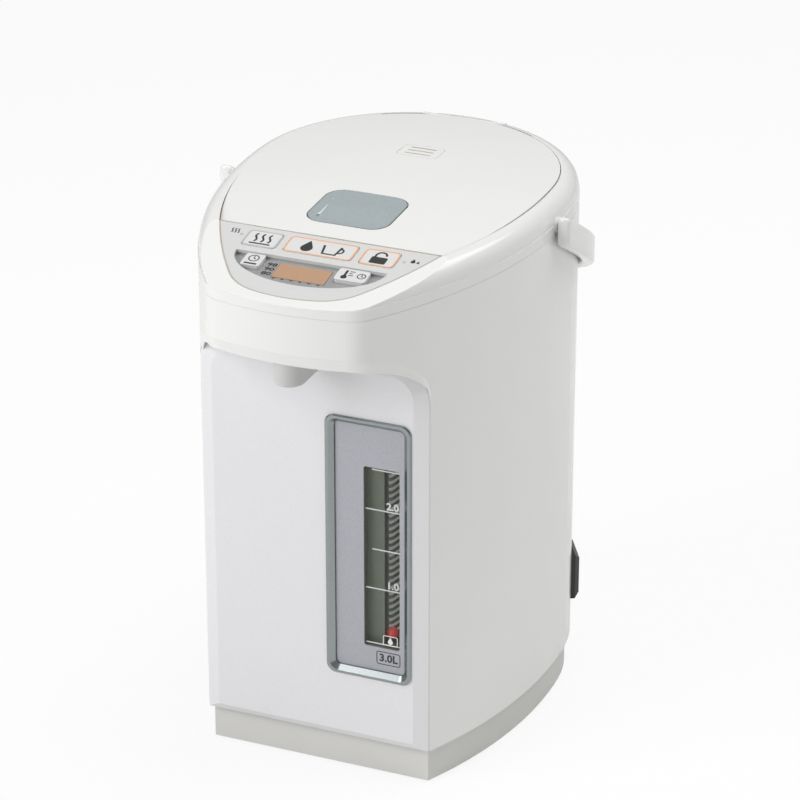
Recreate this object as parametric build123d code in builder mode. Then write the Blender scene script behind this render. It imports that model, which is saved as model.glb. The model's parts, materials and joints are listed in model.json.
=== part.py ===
from build123d import *
import os
from math import atan2, cos, degrees, radians, sin, sqrt

# Electric thermo pot with a vacuum vessel, a pumped spout under an overhanging nose and a hinged lid.
# Millimetres, +Z up, +X to the right of someone facing the pot, -Y towards that person.
# The origin is on the table, under the middle of the pot and its folded handle.

# ------------------------------------------------------------------ overall sizes
body_width = 210.0
body_depth = 298.0
top_z = 340.8  # seam between lid and rim
base_gap = 1.5  # base skirt above the table
base_height = 24.2
parting_z = 322.0  # casing ends, top frame begins
wall = 3.0
fit = 0.3  # gap between neighbouring mouldings
vessel_back = 104.6  # vessel's axis in front of the rear wall

# handle
handle_gap = 2.0
handle_thick = 8.0
handle_height = 17.0
handle_tilt = 30.0  # degrees below level when folded back
handle_pivot_back = 124.5  # pivot axis in front of the rear wall
handle_pivot_z = 327.5
handle_ahead = 8.0  # handle's end in front of the pivot
handle_drop = 5.4  # handle's centre line below the pivot
pivot_pin_r = 3.0
running = 0.05  # radial clearance of a pin in its bore
pivot_boss_r = 4.8
pivot_grip = 8.0  # pin length inside the rim
pivot_blind = 2.5  # handle left outside the end of the pin

front_y = -(body_depth + handle_gap + handle_thick) / 2
back_y = front_y + body_depth
vessel_y = back_y - vessel_back

# plan outline of the body: nose, corner, side and rear arcs, all tangent
nose_r = 170.0
corner_r = 20.0
side_flat = 0.4  # half width less the rear radius
front_taper = 31.4  # front face narrower than the body, on each side
front_half = body_width / 2 - front_taper

# front recess and nose
face_setback = 49.2  # front face behind the nose tip
face_y = front_y + face_setback
arch_top = 297.7  # crease where the nose turns under
arch_corner = 34.0
lip_drop = 8.7
lip_back = 4.0
ceiling_z = arch_top - lip_drop

# rim, lid opening and control panel
rim = 11.6  # rim width between the outer wall and the lid
rim_fillet = 10.7
rim_front = 6.4
crease_z = 328.6  # the rim steps in above this line
crease_step = 0.5
panel_nose_r = 100.0
panel_corner_r = 35.0
joint_y = front_y + 73.8  # seam between lid and control panel
joint_taper = 34.0  # lid narrower than the body at that seam, on each side
joint_half = body_width / 2 - joint_taper
panel_slope = 10.0
panel_thick = 2.0
panel_ledge = 3.0
joint_gap = 0.4  # control panel stops short of the seam
cross_wall = 1.5
deck_top = 326.0

# ------------------------------------------------------------------ plan outlines
half_width = body_width / 2
rear_r = half_width - side_flat
rear_y = back_y - rear_r


def side_radius(half, back, at_y, at_half):
    """Radius of the side arc that leaves the rear arc and passes at_half from the middle at at_y."""
    r_rear = half - side_flat
    low, high = half, 100 * half
    for _ in range(60):
        radius = (low + high) / 2
        side_x = half - radius
        side_y = back - r_rear - sqrt((radius - r_rear) ** 2 - side_x**2)
        if side_x + sqrt(radius**2 - (at_y - side_y) ** 2) < at_half:
            low = radius
        else:
            high = radius
    return radius


rim_half = half_width - rim
rim_back = back_y - rim
body_side_r = side_radius(half_width, back_y, face_y, front_half)
rim_side_r = side_radius(rim_half, rim_back, joint_y, joint_half)
body_plan = (half_width, front_y, back_y, nose_r, corner_r, body_side_r)
rim_plan = (rim_half, front_y + rim_front, rim_back, panel_nose_r, panel_corner_r, rim_side_r)


def plan_centres(plan):
    """Centres of the nose, corner, side and rear arcs of the outline's right half."""
    half, front, back, r_nose, r_corner, r_side = plan
    r_rear = half - side_flat
    rear = Vector(0, back - r_rear)
    nose = Vector(0, front + r_nose)
    side_x = half - r_side
    side = Vector(side_x, rear.Y - sqrt((r_side - r_rear) ** 2 - side_x**2))
    span = nose - side
    from_side = r_side - r_corner
    from_nose = r_nose - r_corner
    along = (from_side**2 - from_nose**2 + span.length**2) / (2 * span.length)
    across = sqrt(from_side**2 - along**2)
    unit = span.normalized()
    corner = side + unit * along + Vector(unit.Y, -unit.X) * across
    return nose, corner, side, rear


def heading(start, end):
    return degrees(atan2(end.Y - start.Y, end.X - start.X))


def arc(centre, radius, start, end, flip=1):
    """An arc about centre from one heading to another, mirrored left when flip is -1."""
    points = []
    for angle in (start, (start + end) / 2, end):
        across = centre.X + radius * cos(radians(angle))
        points.append((flip * across, centre.Y + radius * sin(radians(angle))))
    ThreePointArc(*points)


def plan_outline(plan=body_plan, inset=0.0, mode=Mode.ADD):
    """The closed egg-shaped outline, drawn inside by inset, in the open sketch."""
    half, front, back, r_nose, r_corner, r_side = plan
    nose, corner, side, rear = plan_centres(plan)
    a_corner = heading(nose, corner)
    a_side = heading(side, corner)
    a_rear = heading(side, rear)
    with BuildLine() as outline:
        arc(nose, r_nose - inset, -180 - a_corner, a_corner)
        arc(rear, half - side_flat - inset, a_rear, 180 - a_rear)
        for flip in (1, -1):
            arc(corner, r_corner - inset, a_corner, a_side, flip)
            arc(side, r_side - inset, a_side, a_rear, flip)
    make_face(outline.edges(), mode=mode)


def half_width_at(y, inset=0.0, plan=body_plan):
    """Half width of the outline at y, on its side arc."""
    side = plan_centres(plan)[2]
    return side.X + sqrt((plan[5] - inset) ** 2 - (y - side.Y) ** 2)


def keep_behind(y):
    """Trim the open sketch to what lies behind y."""
    with Locations((0, y - body_depth)):
        Rectangle(4 * body_width, 2 * body_depth, mode=Mode.SUBTRACT)


def keep_ahead(y):
    """Trim the open sketch to what lies in front of y."""
    with Locations((0, y + body_depth)):
        Rectangle(4 * body_width, 2 * body_depth, mode=Mode.SUBTRACT)


def arch(half, bottom, top, corner, mode=Mode.ADD):
    """An upright outline with rounded upper corners in the open sketch."""
    reach = corner * (1 - cos(radians(45)))
    with BuildLine() as outline:
        Polyline((-half, top - corner), (-half, bottom), (half, bottom), (half, top - corner))
        ThreePointArc((half, top - corner), (half - reach, top - reach), (half - corner, top))
        Line((half - corner, top), (corner - half, top))
        ThreePointArc((corner - half, top), (reach - half, top - reach), (-half, top - corner))
    make_face(outline.edges(), mode=mode)


def level(z):
    return Plane.XY.offset(z)


def front_plane(y):
    """Upright plane at y whose sketches have X to the right, Z up and face the front."""
    return Plane.XZ.offset(-y)


pieces = {}

# ------------------------------------------------------------------ casing
casing_bottom = base_height + fit
casing_top = parting_z - fit / 2
pivot_y = back_y - handle_pivot_back
neck = handle_gap / 2
spout_y = front_y + 15.0
spout_pipe_r = 4.8
spout_collar_r = 8.0

inlet_angle = 30.0
inlet_width = 30.0
inlet_height = 31.0
inlet_z = 58.6
inlet_proud = 4.7
inlet_depth = 11.0
inlet_dir = Vector(cos(radians(inlet_angle)), sin(radians(inlet_angle)), 0)
inlet_plane = Plane(
    origin=Vector(0, rear_y, inlet_z) + inlet_dir * rear_r,
    x_dir=Vector(-inlet_dir.Y, inlet_dir.X, 0),
    z_dir=inlet_dir,
)

with BuildPart() as nose_hollow:
    # the space inside the nose, a wall above its underside
    with BuildSketch(level(ceiling_z - arch_corner)):
        plan_outline(inset=wall + lip_back)
        keep_ahead(face_y + wall)
    extrude(amount=arch_corner + lip_drop + wall)
    with BuildSketch(front_plane(face_y + wall)):
        arch(front_half + wall, 0, ceiling_z + wall, arch_corner + wall)
    extrude(amount=face_setback + wall, mode=Mode.SUBTRACT)
    with BuildSketch(level(arch_top + wall)):
        plan_outline(inset=wall)
        keep_ahead(face_y + wall)
    extrude(amount=casing_top - arch_top - wall)

with BuildPart() as casing:
    # corners of the arch over the front face
    with BuildSketch(level(arch_top - arch_corner)):
        plan_outline()
        keep_ahead(face_y)
        Rectangle(2 * (front_half - arch_corner), 2 * body_depth, mode=Mode.SUBTRACT)
    extrude(amount=arch_corner)
    with BuildSketch(front_plane(face_y)):
        arch(front_half, 0, arch_top, arch_corner)
    extrude(amount=face_setback + 1, mode=Mode.SUBTRACT)
    # side walls and back below the nose, then the nose
    with BuildSketch(level(casing_bottom)):
        plan_outline()
        keep_behind(face_y)
    extrude(amount=arch_top - casing_bottom)
    with BuildSketch(level(arch_top)):
        plan_outline()
    extrude(amount=casing_top - arch_top)
    # the nose turns under along a slant
    flat_faces = casing.faces().filter_by(Plane.XY)
    round_faces = casing.faces().filter_by(GeomType.CYLINDER)
    under = [face for face in flat_faces if abs(face.center().Z - arch_top) < fit]
    under += [face for face in round_faces if abs(face.radius - arch_corner) < fit]
    lip_dir = Vector(0, lip_back, -lip_drop)
    for face in under:
        extrude(face, amount=lip_dir.length, dir=lip_dir)
    # hollow
    with BuildSketch(level(casing_bottom)):
        plan_outline(inset=wall)
        keep_behind(face_y - 1)
    extrude(amount=ceiling_z - arch_corner - casing_bottom, mode=Mode.SUBTRACT)
    with BuildSketch(level(ceiling_z - arch_corner)):
        plan_outline(inset=wall)
        keep_behind(face_y + wall)
    extrude(amount=casing_top - ceiling_z + arch_corner, mode=Mode.SUBTRACT)
    add(nose_hollow.part, mode=Mode.SUBTRACT)
    # spout hole in the nose floor
    with BuildSketch(level(ceiling_z)):
        with Locations((0, spout_y)):
            Circle(spout_collar_r + fit)
    extrude(amount=wall, mode=Mode.SUBTRACT)
    # power inlet opening
    with BuildSketch(inlet_plane.offset(-inlet_depth)):
        Rectangle(inlet_width + fit, inlet_height + fit)
    extrude(amount=inlet_depth + inlet_proud, mode=Mode.SUBTRACT)
pieces["casing"] = casing

# ------------------------------------------------------------------ front panel
panel_edge = 0.8
bevel_side = 8.9
bevel_bottom = 5.0
bevel_depth = 3.4
flat_y = face_y - panel_edge - bevel_depth
flat_top = 272.3
flat_corner = 14.0

gauge_x = 36.0
gauge_z = 156.0
gauge_width = 55.0
gauge_height = 173.0
gauge_corner = 6.0
gauge_rim = 5.0
gauge_proud = 1.6
sleeve_wall = 3.0

with BuildPart() as front_panel:
    edge_top = ceiling_z - fit
    edge_half = front_half - fit
    with BuildSketch(front_plane(face_y)):
        arch(edge_half, casing_bottom, edge_top, arch_corner - fit)
    extrude(amount=panel_edge)
    with BuildSketch(front_plane(face_y - panel_edge)):
        arch(edge_half, casing_bottom, edge_top, arch_corner - fit)
    with BuildSketch(front_plane(flat_y)):
        arch(front_half - bevel_side, casing_bottom + bevel_bottom, flat_top, flat_corner)
    loft()
    with BuildSketch(front_plane(face_y)):
        with Locations((gauge_x, gauge_z)):
            RectangleRounded(
                gauge_width - 2 * gauge_rim + 2 * sleeve_wall + 2 * fit,
                gauge_height - 2 * gauge_rim + 2 * sleeve_wall + 2 * fit,
                gauge_corner,
            )
    extrude(amount=panel_edge + bevel_depth, mode=Mode.SUBTRACT)
pieces["front_panel"] = front_panel

# ------------------------------------------------------------------ water gauge
gauge_open_w = gauge_width - 2 * gauge_rim
gauge_open_h = gauge_height - 2 * gauge_rim
gauge_open_r = 3.0
sleeve_back_y = face_y + 1.5
bezel_slope = 2.8
plate_recess = 4.0
plate_thick = 1.2
plate_front_y = flat_y - gauge_proud + plate_recess
plate_back_y = plate_front_y + plate_thick
window_x = 43.4
window_z = 150.5
window_width = 23.0
window_height = 120.0
window_r = 1.5
window_gap = 0.1
window_proud = 0.3
bezel_edge = 0.7
tube_x = 45.4
hose_r = 7.0
tube_y = face_y + wall + fit + hose_r
tube_r = 4.8
tube_bore = 4.1
tube_bottom_z = 62.0
tube_top_z = 258.0
ball_r = 3.65
ball_z = 95.3
backing_wall = 3.0
backing_back_y = tube_y + tube_r + 3.8
scale_y = plate_back_y + 4.4  # dark face beside the tube
scale_lip = 1.2  # thickness of that face where it covers the tube's edge
slit_left = tube_x - 2.5
groove_clear = 0.6

with BuildPart() as gauge_bezel:
    with BuildSketch(front_plane(flat_y)):
        with Locations((gauge_x, gauge_z)):
            RectangleRounded(gauge_width, gauge_height, gauge_corner)
    extrude(amount=gauge_proud)
    chamfer(gauge_bezel.faces().sort_by(Axis.Y)[0].edges(), bezel_edge)
    with BuildSketch(front_plane(sleeve_back_y)):
        with Locations((gauge_x, gauge_z)):
            RectangleRounded(
                gauge_open_w + 2 * sleeve_wall, gauge_open_h + 2 * sleeve_wall, gauge_corner - fit
            )
    extrude(amount=sleeve_back_y - flat_y)
    with BuildSketch(front_plane(sleeve_back_y)):
        with Locations((gauge_x, gauge_z)):
            RectangleRounded(gauge_open_w, gauge_open_h, gauge_open_r)
    extrude(amount=sleeve_back_y - flat_y + gauge_proud, mode=Mode.SUBTRACT)
    chamfer(gauge_bezel.faces().sort_by(Axis.Y)[0].inner_wires()[0].edges(), bezel_slope)
pieces["gauge_bezel"] = gauge_bezel

with BuildPart() as gauge_plate:
    with BuildSketch(front_plane(plate_back_y)):
        with Locations((gauge_x, gauge_z)):
            RectangleRounded(
                gauge_open_w - 2 * window_gap, gauge_open_h - 2 * window_gap, gauge_open_r - window_gap
            )
        with Locations((window_x, window_z)):
            RectangleRounded(window_width, window_height, window_r, mode=Mode.SUBTRACT)
    extrude(amount=plate_thick)
pieces["gauge_plate"] = gauge_plate

with BuildPart() as gauge_window:
    with BuildSketch(front_plane(plate_back_y)):
        with Locations((window_x, window_z)):
            RectangleRounded(
                window_width - 2 * window_gap, window_height - 2 * window_gap, window_r - window_gap
            )
    extrude(amount=plate_thick + window_proud)
pieces["gauge_window"] = gauge_window

with BuildPart() as gauge_backing:
    backing_w = window_width + 2 * backing_wall
    backing_h = window_height + 2 * backing_wall
    chamber_w = window_width + 2 * window_gap
    with BuildSketch(front_plane(backing_back_y)):
        with Locations((window_x, window_z)):
            Rectangle(backing_w, backing_h)
    extrude(amount=backing_back_y - plate_back_y)
    with BuildSketch(front_plane(scale_y)):
        with Locations((window_x, window_z)):
            Rectangle(chamber_w, window_height)
    extrude(amount=scale_y - plate_back_y, mode=Mode.SUBTRACT)
    groove_left = tube_x - tube_r - groove_clear
    groove_right = window_x + chamber_w / 2
    with BuildSketch(front_plane(tube_y + tube_r + groove_clear)):
        with Locations(((groove_left + groove_right) / 2, window_z)):
            Rectangle(groove_right - groove_left, window_height)
    extrude(amount=tube_y + tube_r + groove_clear - scale_y - scale_lip, mode=Mode.SUBTRACT)
    with BuildSketch(front_plane(tube_y)):
        with Locations(((slit_left + groove_right) / 2, window_z)):
            Rectangle(groove_right - slit_left, window_height)
    extrude(amount=tube_y - scale_y, mode=Mode.SUBTRACT)
    with BuildSketch(level(window_z - backing_h / 2)):
        with Locations((tube_x, tube_y)):
            Circle(tube_r + running)
    extrude(amount=backing_h, mode=Mode.SUBTRACT)
pieces["gauge_backing"] = gauge_backing

with BuildPart() as gauge_tube:
    with BuildSketch(level(tube_bottom_z)):
        with Locations((tube_x, tube_y)):
            Circle(tube_r)
            Circle(tube_bore, mode=Mode.SUBTRACT)
    extrude(amount=tube_top_z - tube_bottom_z)
pieces["gauge_tube"] = gauge_tube

with BuildPart() as float_ball:
    with Locations((tube_x, tube_y, ball_z)):
        Sphere(ball_r)
pieces["float_ball"] = float_ball

# ------------------------------------------------------------------ spout
spout_half = 10.0
spout_bottom_z = 273.5
spout_bore = 3.6
spout_top_z = 298.0
spout_edge = 1.5
spout_lip = 3.0
spout_lip_depth = 4.0

with BuildPart() as spout:
    with BuildSketch(level(spout_bottom_z)):
        with Locations((0, spout_y)):
            Circle(spout_half)
        back_edge = flat_y - fit
        with Locations((0, (spout_y + back_edge) / 2)):
            Rectangle(2 * spout_half, back_edge - spout_y)
    extrude(amount=ceiling_z - spout_bottom_z)
    chamfer(spout.faces().sort_by(Axis.Z)[0].edges().filter_by(GeomType.CIRCLE), spout_edge)
    with BuildSketch(level(ceiling_z)):
        with Locations((0, spout_y)):
            Circle(spout_collar_r)
    extrude(amount=wall)
    with BuildSketch(level(ceiling_z)):
        with Locations((0, spout_y)):
            Circle(spout_pipe_r)
    extrude(amount=spout_top_z - ceiling_z)
    with BuildSketch(level(spout_bottom_z)):
        with Locations((0, spout_y)):
            Circle(spout_bore)
    extrude(amount=spout_top_z - spout_bottom_z, mode=Mode.SUBTRACT)
    with BuildSketch(level(spout_bottom_z)):
        with Locations((0, spout_y)):
            Circle(spout_half - spout_lip)
    extrude(amount=spout_lip_depth, mode=Mode.SUBTRACT)
pieces["spout"] = spout

# ------------------------------------------------------------------ top frame
tilt = radians(panel_slope)
tilt_plane = Plane(
    origin=(0, joint_y * (1 - cos(tilt)), top_z - joint_y * sin(tilt)),
    x_dir=(1, 0, 0),
    z_dir=(0, -sin(tilt), cos(tilt)),
)
frame_bottom = parting_z + fit / 2
collar_in = 74.0
collar_out = 77.0
collar_bottom = 303.4

hinge_y = back_y - 12.5
knuckle_r = 3.4
hinge_z = top_z - knuckle_r
hinge_pin_r = 1.5
hinge_half = 28.0
ear_width = 6.5
hinge_gap = 0.4
hinge_back_gap = 1.2  # room for the lid's rear edge when it stands open
rear_relief = 1.0  # rim cut back beside the hinge, where the lid's edge swings past
relief_depth = 2.0
relief_reach = 14.0
pivot_half = half_width_at(pivot_y)

with BuildPart() as top_frame:
    with BuildSketch(level(crease_z)):
        plan_outline(inset=crease_step)
    extrude(amount=top_z - crease_z)
    fillet(top_frame.faces().sort_by(Axis.Z)[-1].edges(), rim_fillet)
    with BuildSketch(level(frame_bottom)):
        plan_outline()
    extrude(amount=crease_z - frame_bottom)
    split(bisect_by=tilt_plane, keep=Keep.BOTTOM)
    with BuildSketch(level(collar_bottom)):
        with Locations((0, vessel_y)):
            Circle(collar_out)
    extrude(amount=frame_bottom - collar_bottom)
    # seat of the lid
    with BuildSketch(level(deck_top)):
        plan_outline(rim_plan)
        keep_behind(joint_y)
    extrude(amount=top_z - deck_top + 5, mode=Mode.SUBTRACT)
    # seat of the control panel and the opening under it
    with BuildSketch(tilt_plane.offset(-panel_thick)):
        plan_outline(rim_plan)
        keep_ahead(joint_y + fit)
    extrude(amount=3 * panel_thick, mode=Mode.SUBTRACT)
    with BuildSketch(level(frame_bottom)):
        plan_outline(rim_plan, inset=panel_ledge)
        keep_ahead(joint_y - cross_wall)
    extrude(amount=top_z - frame_bottom, mode=Mode.SUBTRACT)
    with BuildSketch(level(collar_bottom)):
        with Locations((0, vessel_y)):
            Circle(collar_in)
    extrude(amount=top_z - collar_bottom, mode=Mode.SUBTRACT)
    # hinge: notch for the lid's knuckle, and a bore for the pin at each side
    notch_front = vessel_y
    notch_back = hinge_y + knuckle_r + hinge_back_gap
    with BuildSketch(level(hinge_z - knuckle_r - hinge_gap)):
        with Locations((0, (notch_front + notch_back) / 2)):
            Rectangle(2 * (hinge_half + hinge_gap), notch_back - notch_front)
    extrude(amount=3 * knuckle_r, mode=Mode.SUBTRACT)
    with BuildSketch(level(top_z - relief_depth)):
        plan_outline(rim_plan, inset=-rear_relief)
        keep_behind(hinge_y - relief_reach)
    extrude(amount=2 * relief_depth, mode=Mode.SUBTRACT)
    with BuildSketch(Plane.YZ.offset(-hinge_half - ear_width)):
        with Locations((hinge_y, hinge_z)):
            Circle(hinge_pin_r + running)
    extrude(amount=2 * (hinge_half + ear_width), mode=Mode.SUBTRACT)
    # pivots of the handle
    for side in (-1, 1):
        with BuildSketch(Plane.YZ.offset(side * (pivot_half - wall))):
            with Locations((pivot_y, handle_pivot_z)):
                Circle(pivot_boss_r)
        extrude(amount=side * (wall + neck))
        with BuildSketch(Plane.YZ.offset(side * (pivot_half - pivot_grip))):
            with Locations((pivot_y, handle_pivot_z)):
                Circle(pivot_pin_r + running)
        extrude(amount=side * (pivot_grip + neck), mode=Mode.SUBTRACT)
pieces["top_frame"] = top_frame

with BuildPart() as hinge_pin:
    with BuildSketch(Plane.YZ.offset(-hinge_half - ear_width)):
        with Locations((hinge_y, hinge_z)):
            Circle(hinge_pin_r)
    extrude(amount=2 * (hinge_half + ear_width))
pieces["hinge_pin"] = hinge_pin

# ------------------------------------------------------------------ control panel and keys
# Places on the panel: across from the middle, and down the slope from the seam with the lid.
recess_half = 47.6
recess_top = 26.9
recess_depth = 26.3
recess_floor = 3.0
tray_floor = 1.5
tray_skirt = 1.6
board_depth = 12.0
board_thick = 1.6
board_corner = 3.0
switch_height = 2.5
switch_width = 6.0
switch_button_r = 1.75
switch_button = 0.6  # part of the height that is the button
switch_gap = 0.1
key_travel = 0.8
key_gap = 0.3
lcd_x = -1.8
lcd_down = 37.2
lcd_width = 33.0
lcd_height = 14.4
lcd_sunk = 2.8
board_width = 84.0
board_height = 40.0
board_down = 27.5
peg_r = 1.2
board_pegs = [(-22.0, 31.0), (-22.0, 45.0), (20.5, 45.0), (16.4, 31.0)]

# key: across, down, width, height, corner radius, depth of its top below the panel's surface
keys = {
    "boil_key": (-37.1, 13.1, 21.8, 16.4, 3.0, -0.25),
    "dispense_key": (0.0, 12.8, 43.2, 16.4, 3.0, -0.25),
    "unlock_key": (37.1, 13.1, 21.8, 16.4, 3.0, -0.25),
    "timer_key": (-34.0, 33.9, 11.8, 12.2, 1.2, 0.5),
    "temperature_key": (28.4, 33.7, 19.2, 12.0, 2.0, 0.5),
}
tray_keys = ("timer_key", "temperature_key")
stem_r = 2.0
stop_rim = 1.0
stop_thick = 0.7


def recess_outline(grow=0.0, mode=Mode.ADD):
    """Half ellipse with its straight side towards the lid, grown on all sides."""
    straight_y = joint_y - recess_top + grow
    with BuildLine() as outline:
        Line((-recess_half - grow, straight_y), (recess_half + grow, straight_y))
        EllipticalCenterArc(
            (0, straight_y), recess_half + grow, recess_depth + 2 * grow, start_angle=180, arc_size=180
        )
    make_face(outline.edges(), mode=mode)


with BuildPart() as control_panel:
    with BuildSketch(tilt_plane):
        plan_outline(rim_plan, inset=fit / 2)
        keep_ahead(joint_y - joint_gap)
    extrude(amount=-panel_thick)
    with BuildSketch(tilt_plane):
        recess_outline()
        for name, (across, down, width, height, corner, sunk) in keys.items():
            if name not in tray_keys:
                with Locations((across, joint_y - down)):
                    RectangleRounded(width + 2 * key_gap, height + 2 * key_gap, corner)
    extrude(amount=-panel_thick, mode=Mode.SUBTRACT)
pieces["control_panel"] = control_panel

with BuildPart() as display_tray:
    with BuildSketch(tilt_plane.offset(-panel_thick)):
        recess_outline(grow=tray_skirt)
    extrude(amount=-(recess_floor + tray_floor - panel_thick))
    with BuildSketch(tilt_plane.offset(-panel_thick)):
        recess_outline()
    extrude(amount=-(recess_floor - panel_thick), mode=Mode.SUBTRACT)
    # four pegs carry the control board
    with BuildSketch(tilt_plane.offset(-recess_floor - tray_floor)):
        for across, down in board_pegs:
            with Locations((across, joint_y - down)):
                Circle(peg_r)
    extrude(amount=-(board_depth - recess_floor - tray_floor))
    with BuildSketch(tilt_plane):
        with Locations((lcd_x, joint_y - lcd_down)):
            Rectangle(lcd_width + 2 * fit, lcd_height + 2 * fit)
        for name in tray_keys:
            across, down, width, height, corner, sunk = keys[name]
            with Locations((across, joint_y - down)):
                RectangleRounded(width + 2 * key_gap, height + 2 * key_gap, corner)
    extrude(amount=-board_depth + fit, mode=Mode.SUBTRACT)
pieces["display_tray"] = display_tray

with BuildPart() as lcd_panel:
    with BuildSketch(tilt_plane.offset(-lcd_sunk)):
        with Locations((lcd_x, joint_y - lcd_down)):
            Rectangle(lcd_width, lcd_height)
    extrude(amount=-(board_depth - lcd_sunk))
pieces["lcd_panel"] = lcd_panel

switch_top = board_depth - switch_height
for name, (across, down, width, height, corner, sunk) in keys.items():
    under = recess_floor + tray_floor if name in tray_keys else panel_thick
    with BuildPart() as key:
        with BuildSketch(tilt_plane.offset(-sunk)):
            with Locations((across, joint_y - down)):
                RectangleRounded(width, height, corner)
        extrude(amount=-(under + key_travel / 2 - sunk))
        with BuildSketch(tilt_plane.offset(-under - key_travel / 2)):
            with Locations((across, joint_y - down)):
                Rectangle(width + 2 * stop_rim, height - 2 * stop_rim)
        extrude(amount=-stop_thick)
        with BuildSketch(tilt_plane.offset(-under)):
            with Locations((across, joint_y - down)):
                Circle(stem_r)
        extrude(amount=-(switch_top - key_travel - switch_gap - under))
    pieces[name] = key

with BuildPart() as control_board:
    with BuildSketch(tilt_plane.offset(-board_depth)):
        with Locations((0, joint_y - board_down)):
            RectangleRounded(board_width, board_height, board_corner)
    extrude(amount=-board_thick)
pieces["control_board"] = control_board

with BuildPart() as key_switches:
    for across, down, width, height, corner, sunk in keys.values():
        with BuildSketch(tilt_plane.offset(-board_depth)):
            with Locations((across, joint_y - down)):
                Rectangle(switch_width, switch_width)
        extrude(amount=switch_height - switch_button)
        with BuildSketch(tilt_plane.offset(-board_depth)):
            with Locations((across, joint_y - down)):
                Circle(switch_button_r)
        extrude(amount=switch_height)
pieces["key_switches"] = key_switches

# ------------------------------------------------------------------ lid
lid_bottom = deck_top + 0.5
lid_fit = 0.5
lid_wall = 3.0
crown_z = 344.5
crown_r = 1500.0
crown_y = (joint_y + back_y - rim) / 2
lid_hollow_top = 338.3
lever_width = 51.4
lever_length = 46.2
lever_front = joint_y + 18.0
lever_r = 12.0
lever_gap = 1.0
well_floor = 333.0
well_wall = 2.0
lever_pin_r = 1.2
lever_pin_z = 341.6
lever_y = lever_front + lever_length / 2
steam_y = vessel_y + 20.0
steam_width = 26.0
steam_length = 19.0
steam_thick = 2.5
steam_r = 4.0
duct_r = 6.5
duct_bore = 5.0
bolt_width = 30.0
bolt_thick = 3.0
bolt_length = 24.0
bolt_z = 329.8
bolt_gap = 0.4
bolt_edge = 1.2
web_thick = 2.0
steam_seat = 1.0
lever_pin_back = 4.5  # pin in front of the lever's rear edge
lever_pin_y = lever_front + lever_length - lever_pin_back
bolt_wall = 1.0

with BuildPart() as lid_shell:
    with BuildSketch(level(lid_bottom)):
        plan_outline(rim_plan, inset=lid_fit)
        keep_behind(joint_y + fit)
    extrude(amount=crown_z - lid_bottom + 1)
    with Locations((0, crown_y, crown_z - crown_r)):
        Sphere(crown_r, mode=Mode.INTERSECT)
    with BuildSketch(level(lid_bottom)):
        plan_outline(rim_plan, inset=lid_fit + lid_wall)
        keep_behind(joint_y + fit + lid_wall)
    extrude(amount=lid_hollow_top - lid_bottom, mode=Mode.SUBTRACT)
    # well of the latch lever
    with BuildSketch(level(well_floor)):
        with Locations((0, lever_y)):
            RectangleRounded(
                lever_width + 2 * (lever_gap + well_wall), lever_length + 2 * (lever_gap + well_wall), lever_r
            )
    extrude(amount=lid_hollow_top - well_floor)
    with BuildSketch(level(well_floor + well_wall)):
        with Locations((0, lever_y)):
            RectangleRounded(lever_width + 2 * lever_gap, lever_length + 2 * lever_gap, lever_r)
    extrude(amount=crown_z, mode=Mode.SUBTRACT)
    with BuildSketch(Plane.YZ.offset(-lever_width / 2 - lever_gap - well_wall)):
        with Locations((lever_pin_y, lever_pin_z)):
            Circle(lever_pin_r + running)
    extrude(amount=lever_width + 2 * (lever_gap + well_wall), mode=Mode.SUBTRACT)
    # seat of the steam cover, with its duct hole
    with BuildSketch(level(crown_z - steam_thick - steam_seat)):
        with Locations((0, steam_y)):
            RectangleRounded(steam_width + 2 * fit, steam_length + 2 * fit, steam_r)
    extrude(amount=2 * steam_thick, mode=Mode.SUBTRACT)
    with BuildSketch(level(lid_bottom)):
        with Locations((0, steam_y)):
            Circle(duct_r + fit)
    extrude(amount=crown_z - lid_bottom, mode=Mode.SUBTRACT)
    # slot for the latch bolt in the front wall
    with BuildSketch(front_plane(joint_y + fit + lid_wall + bolt_wall)):
        with Locations((0, bolt_z + bolt_thick / 2)):
            Rectangle(bolt_width + 2 * bolt_gap, bolt_thick + 2 * bolt_gap)
    extrude(amount=lid_wall + 2 * bolt_wall, mode=Mode.SUBTRACT)
    # hinge knuckle on a web behind the lid
    with BuildSketch(Plane.YZ.offset(-hinge_half)):
        with Locations((hinge_y, hinge_z)):
            Circle(knuckle_r)
        web_front = back_y - rim - lid_wall
        with Locations(((web_front + hinge_y) / 2, top_z - web_thick / 2)):
            Rectangle(hinge_y - web_front, web_thick)
    extrude(amount=2 * hinge_half)
    with BuildSketch(Plane.YZ.offset(-hinge_half)):
        with Locations((hinge_y, hinge_z)):
            Circle(hinge_pin_r + running)
    extrude(amount=2 * hinge_half, mode=Mode.SUBTRACT)
pieces["lid_shell"] = lid_shell

plug_r = 67.0
plug_wall = 2.0
plug_bottom = 305.0
liner_thick = 2.5
liner_bottom = lid_bottom + 0.5

with BuildPart() as lid_liner:
    with BuildSketch(level(liner_bottom)):
        plan_outline(rim_plan, inset=lid_fit + lid_wall + fit)
        keep_behind(joint_y + fit + lid_wall + fit)
    extrude(amount=liner_thick)
    with BuildSketch(level(plug_bottom)):
        with Locations((0, vessel_y)):
            Circle(plug_r)
    extrude(amount=liner_bottom - plug_bottom)
    with BuildSketch(level(plug_bottom + plug_wall)):
        with Locations((0, vessel_y)):
            Circle(plug_r - plug_wall)
    extrude(amount=liner_bottom + liner_thick - plug_bottom - plug_wall, mode=Mode.SUBTRACT)
    with BuildSketch(level(plug_bottom)):
        with Locations((0, steam_y)):
            Circle(duct_bore)
    extrude(amount=plug_wall, mode=Mode.SUBTRACT)
pieces["lid_liner"] = lid_liner

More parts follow.
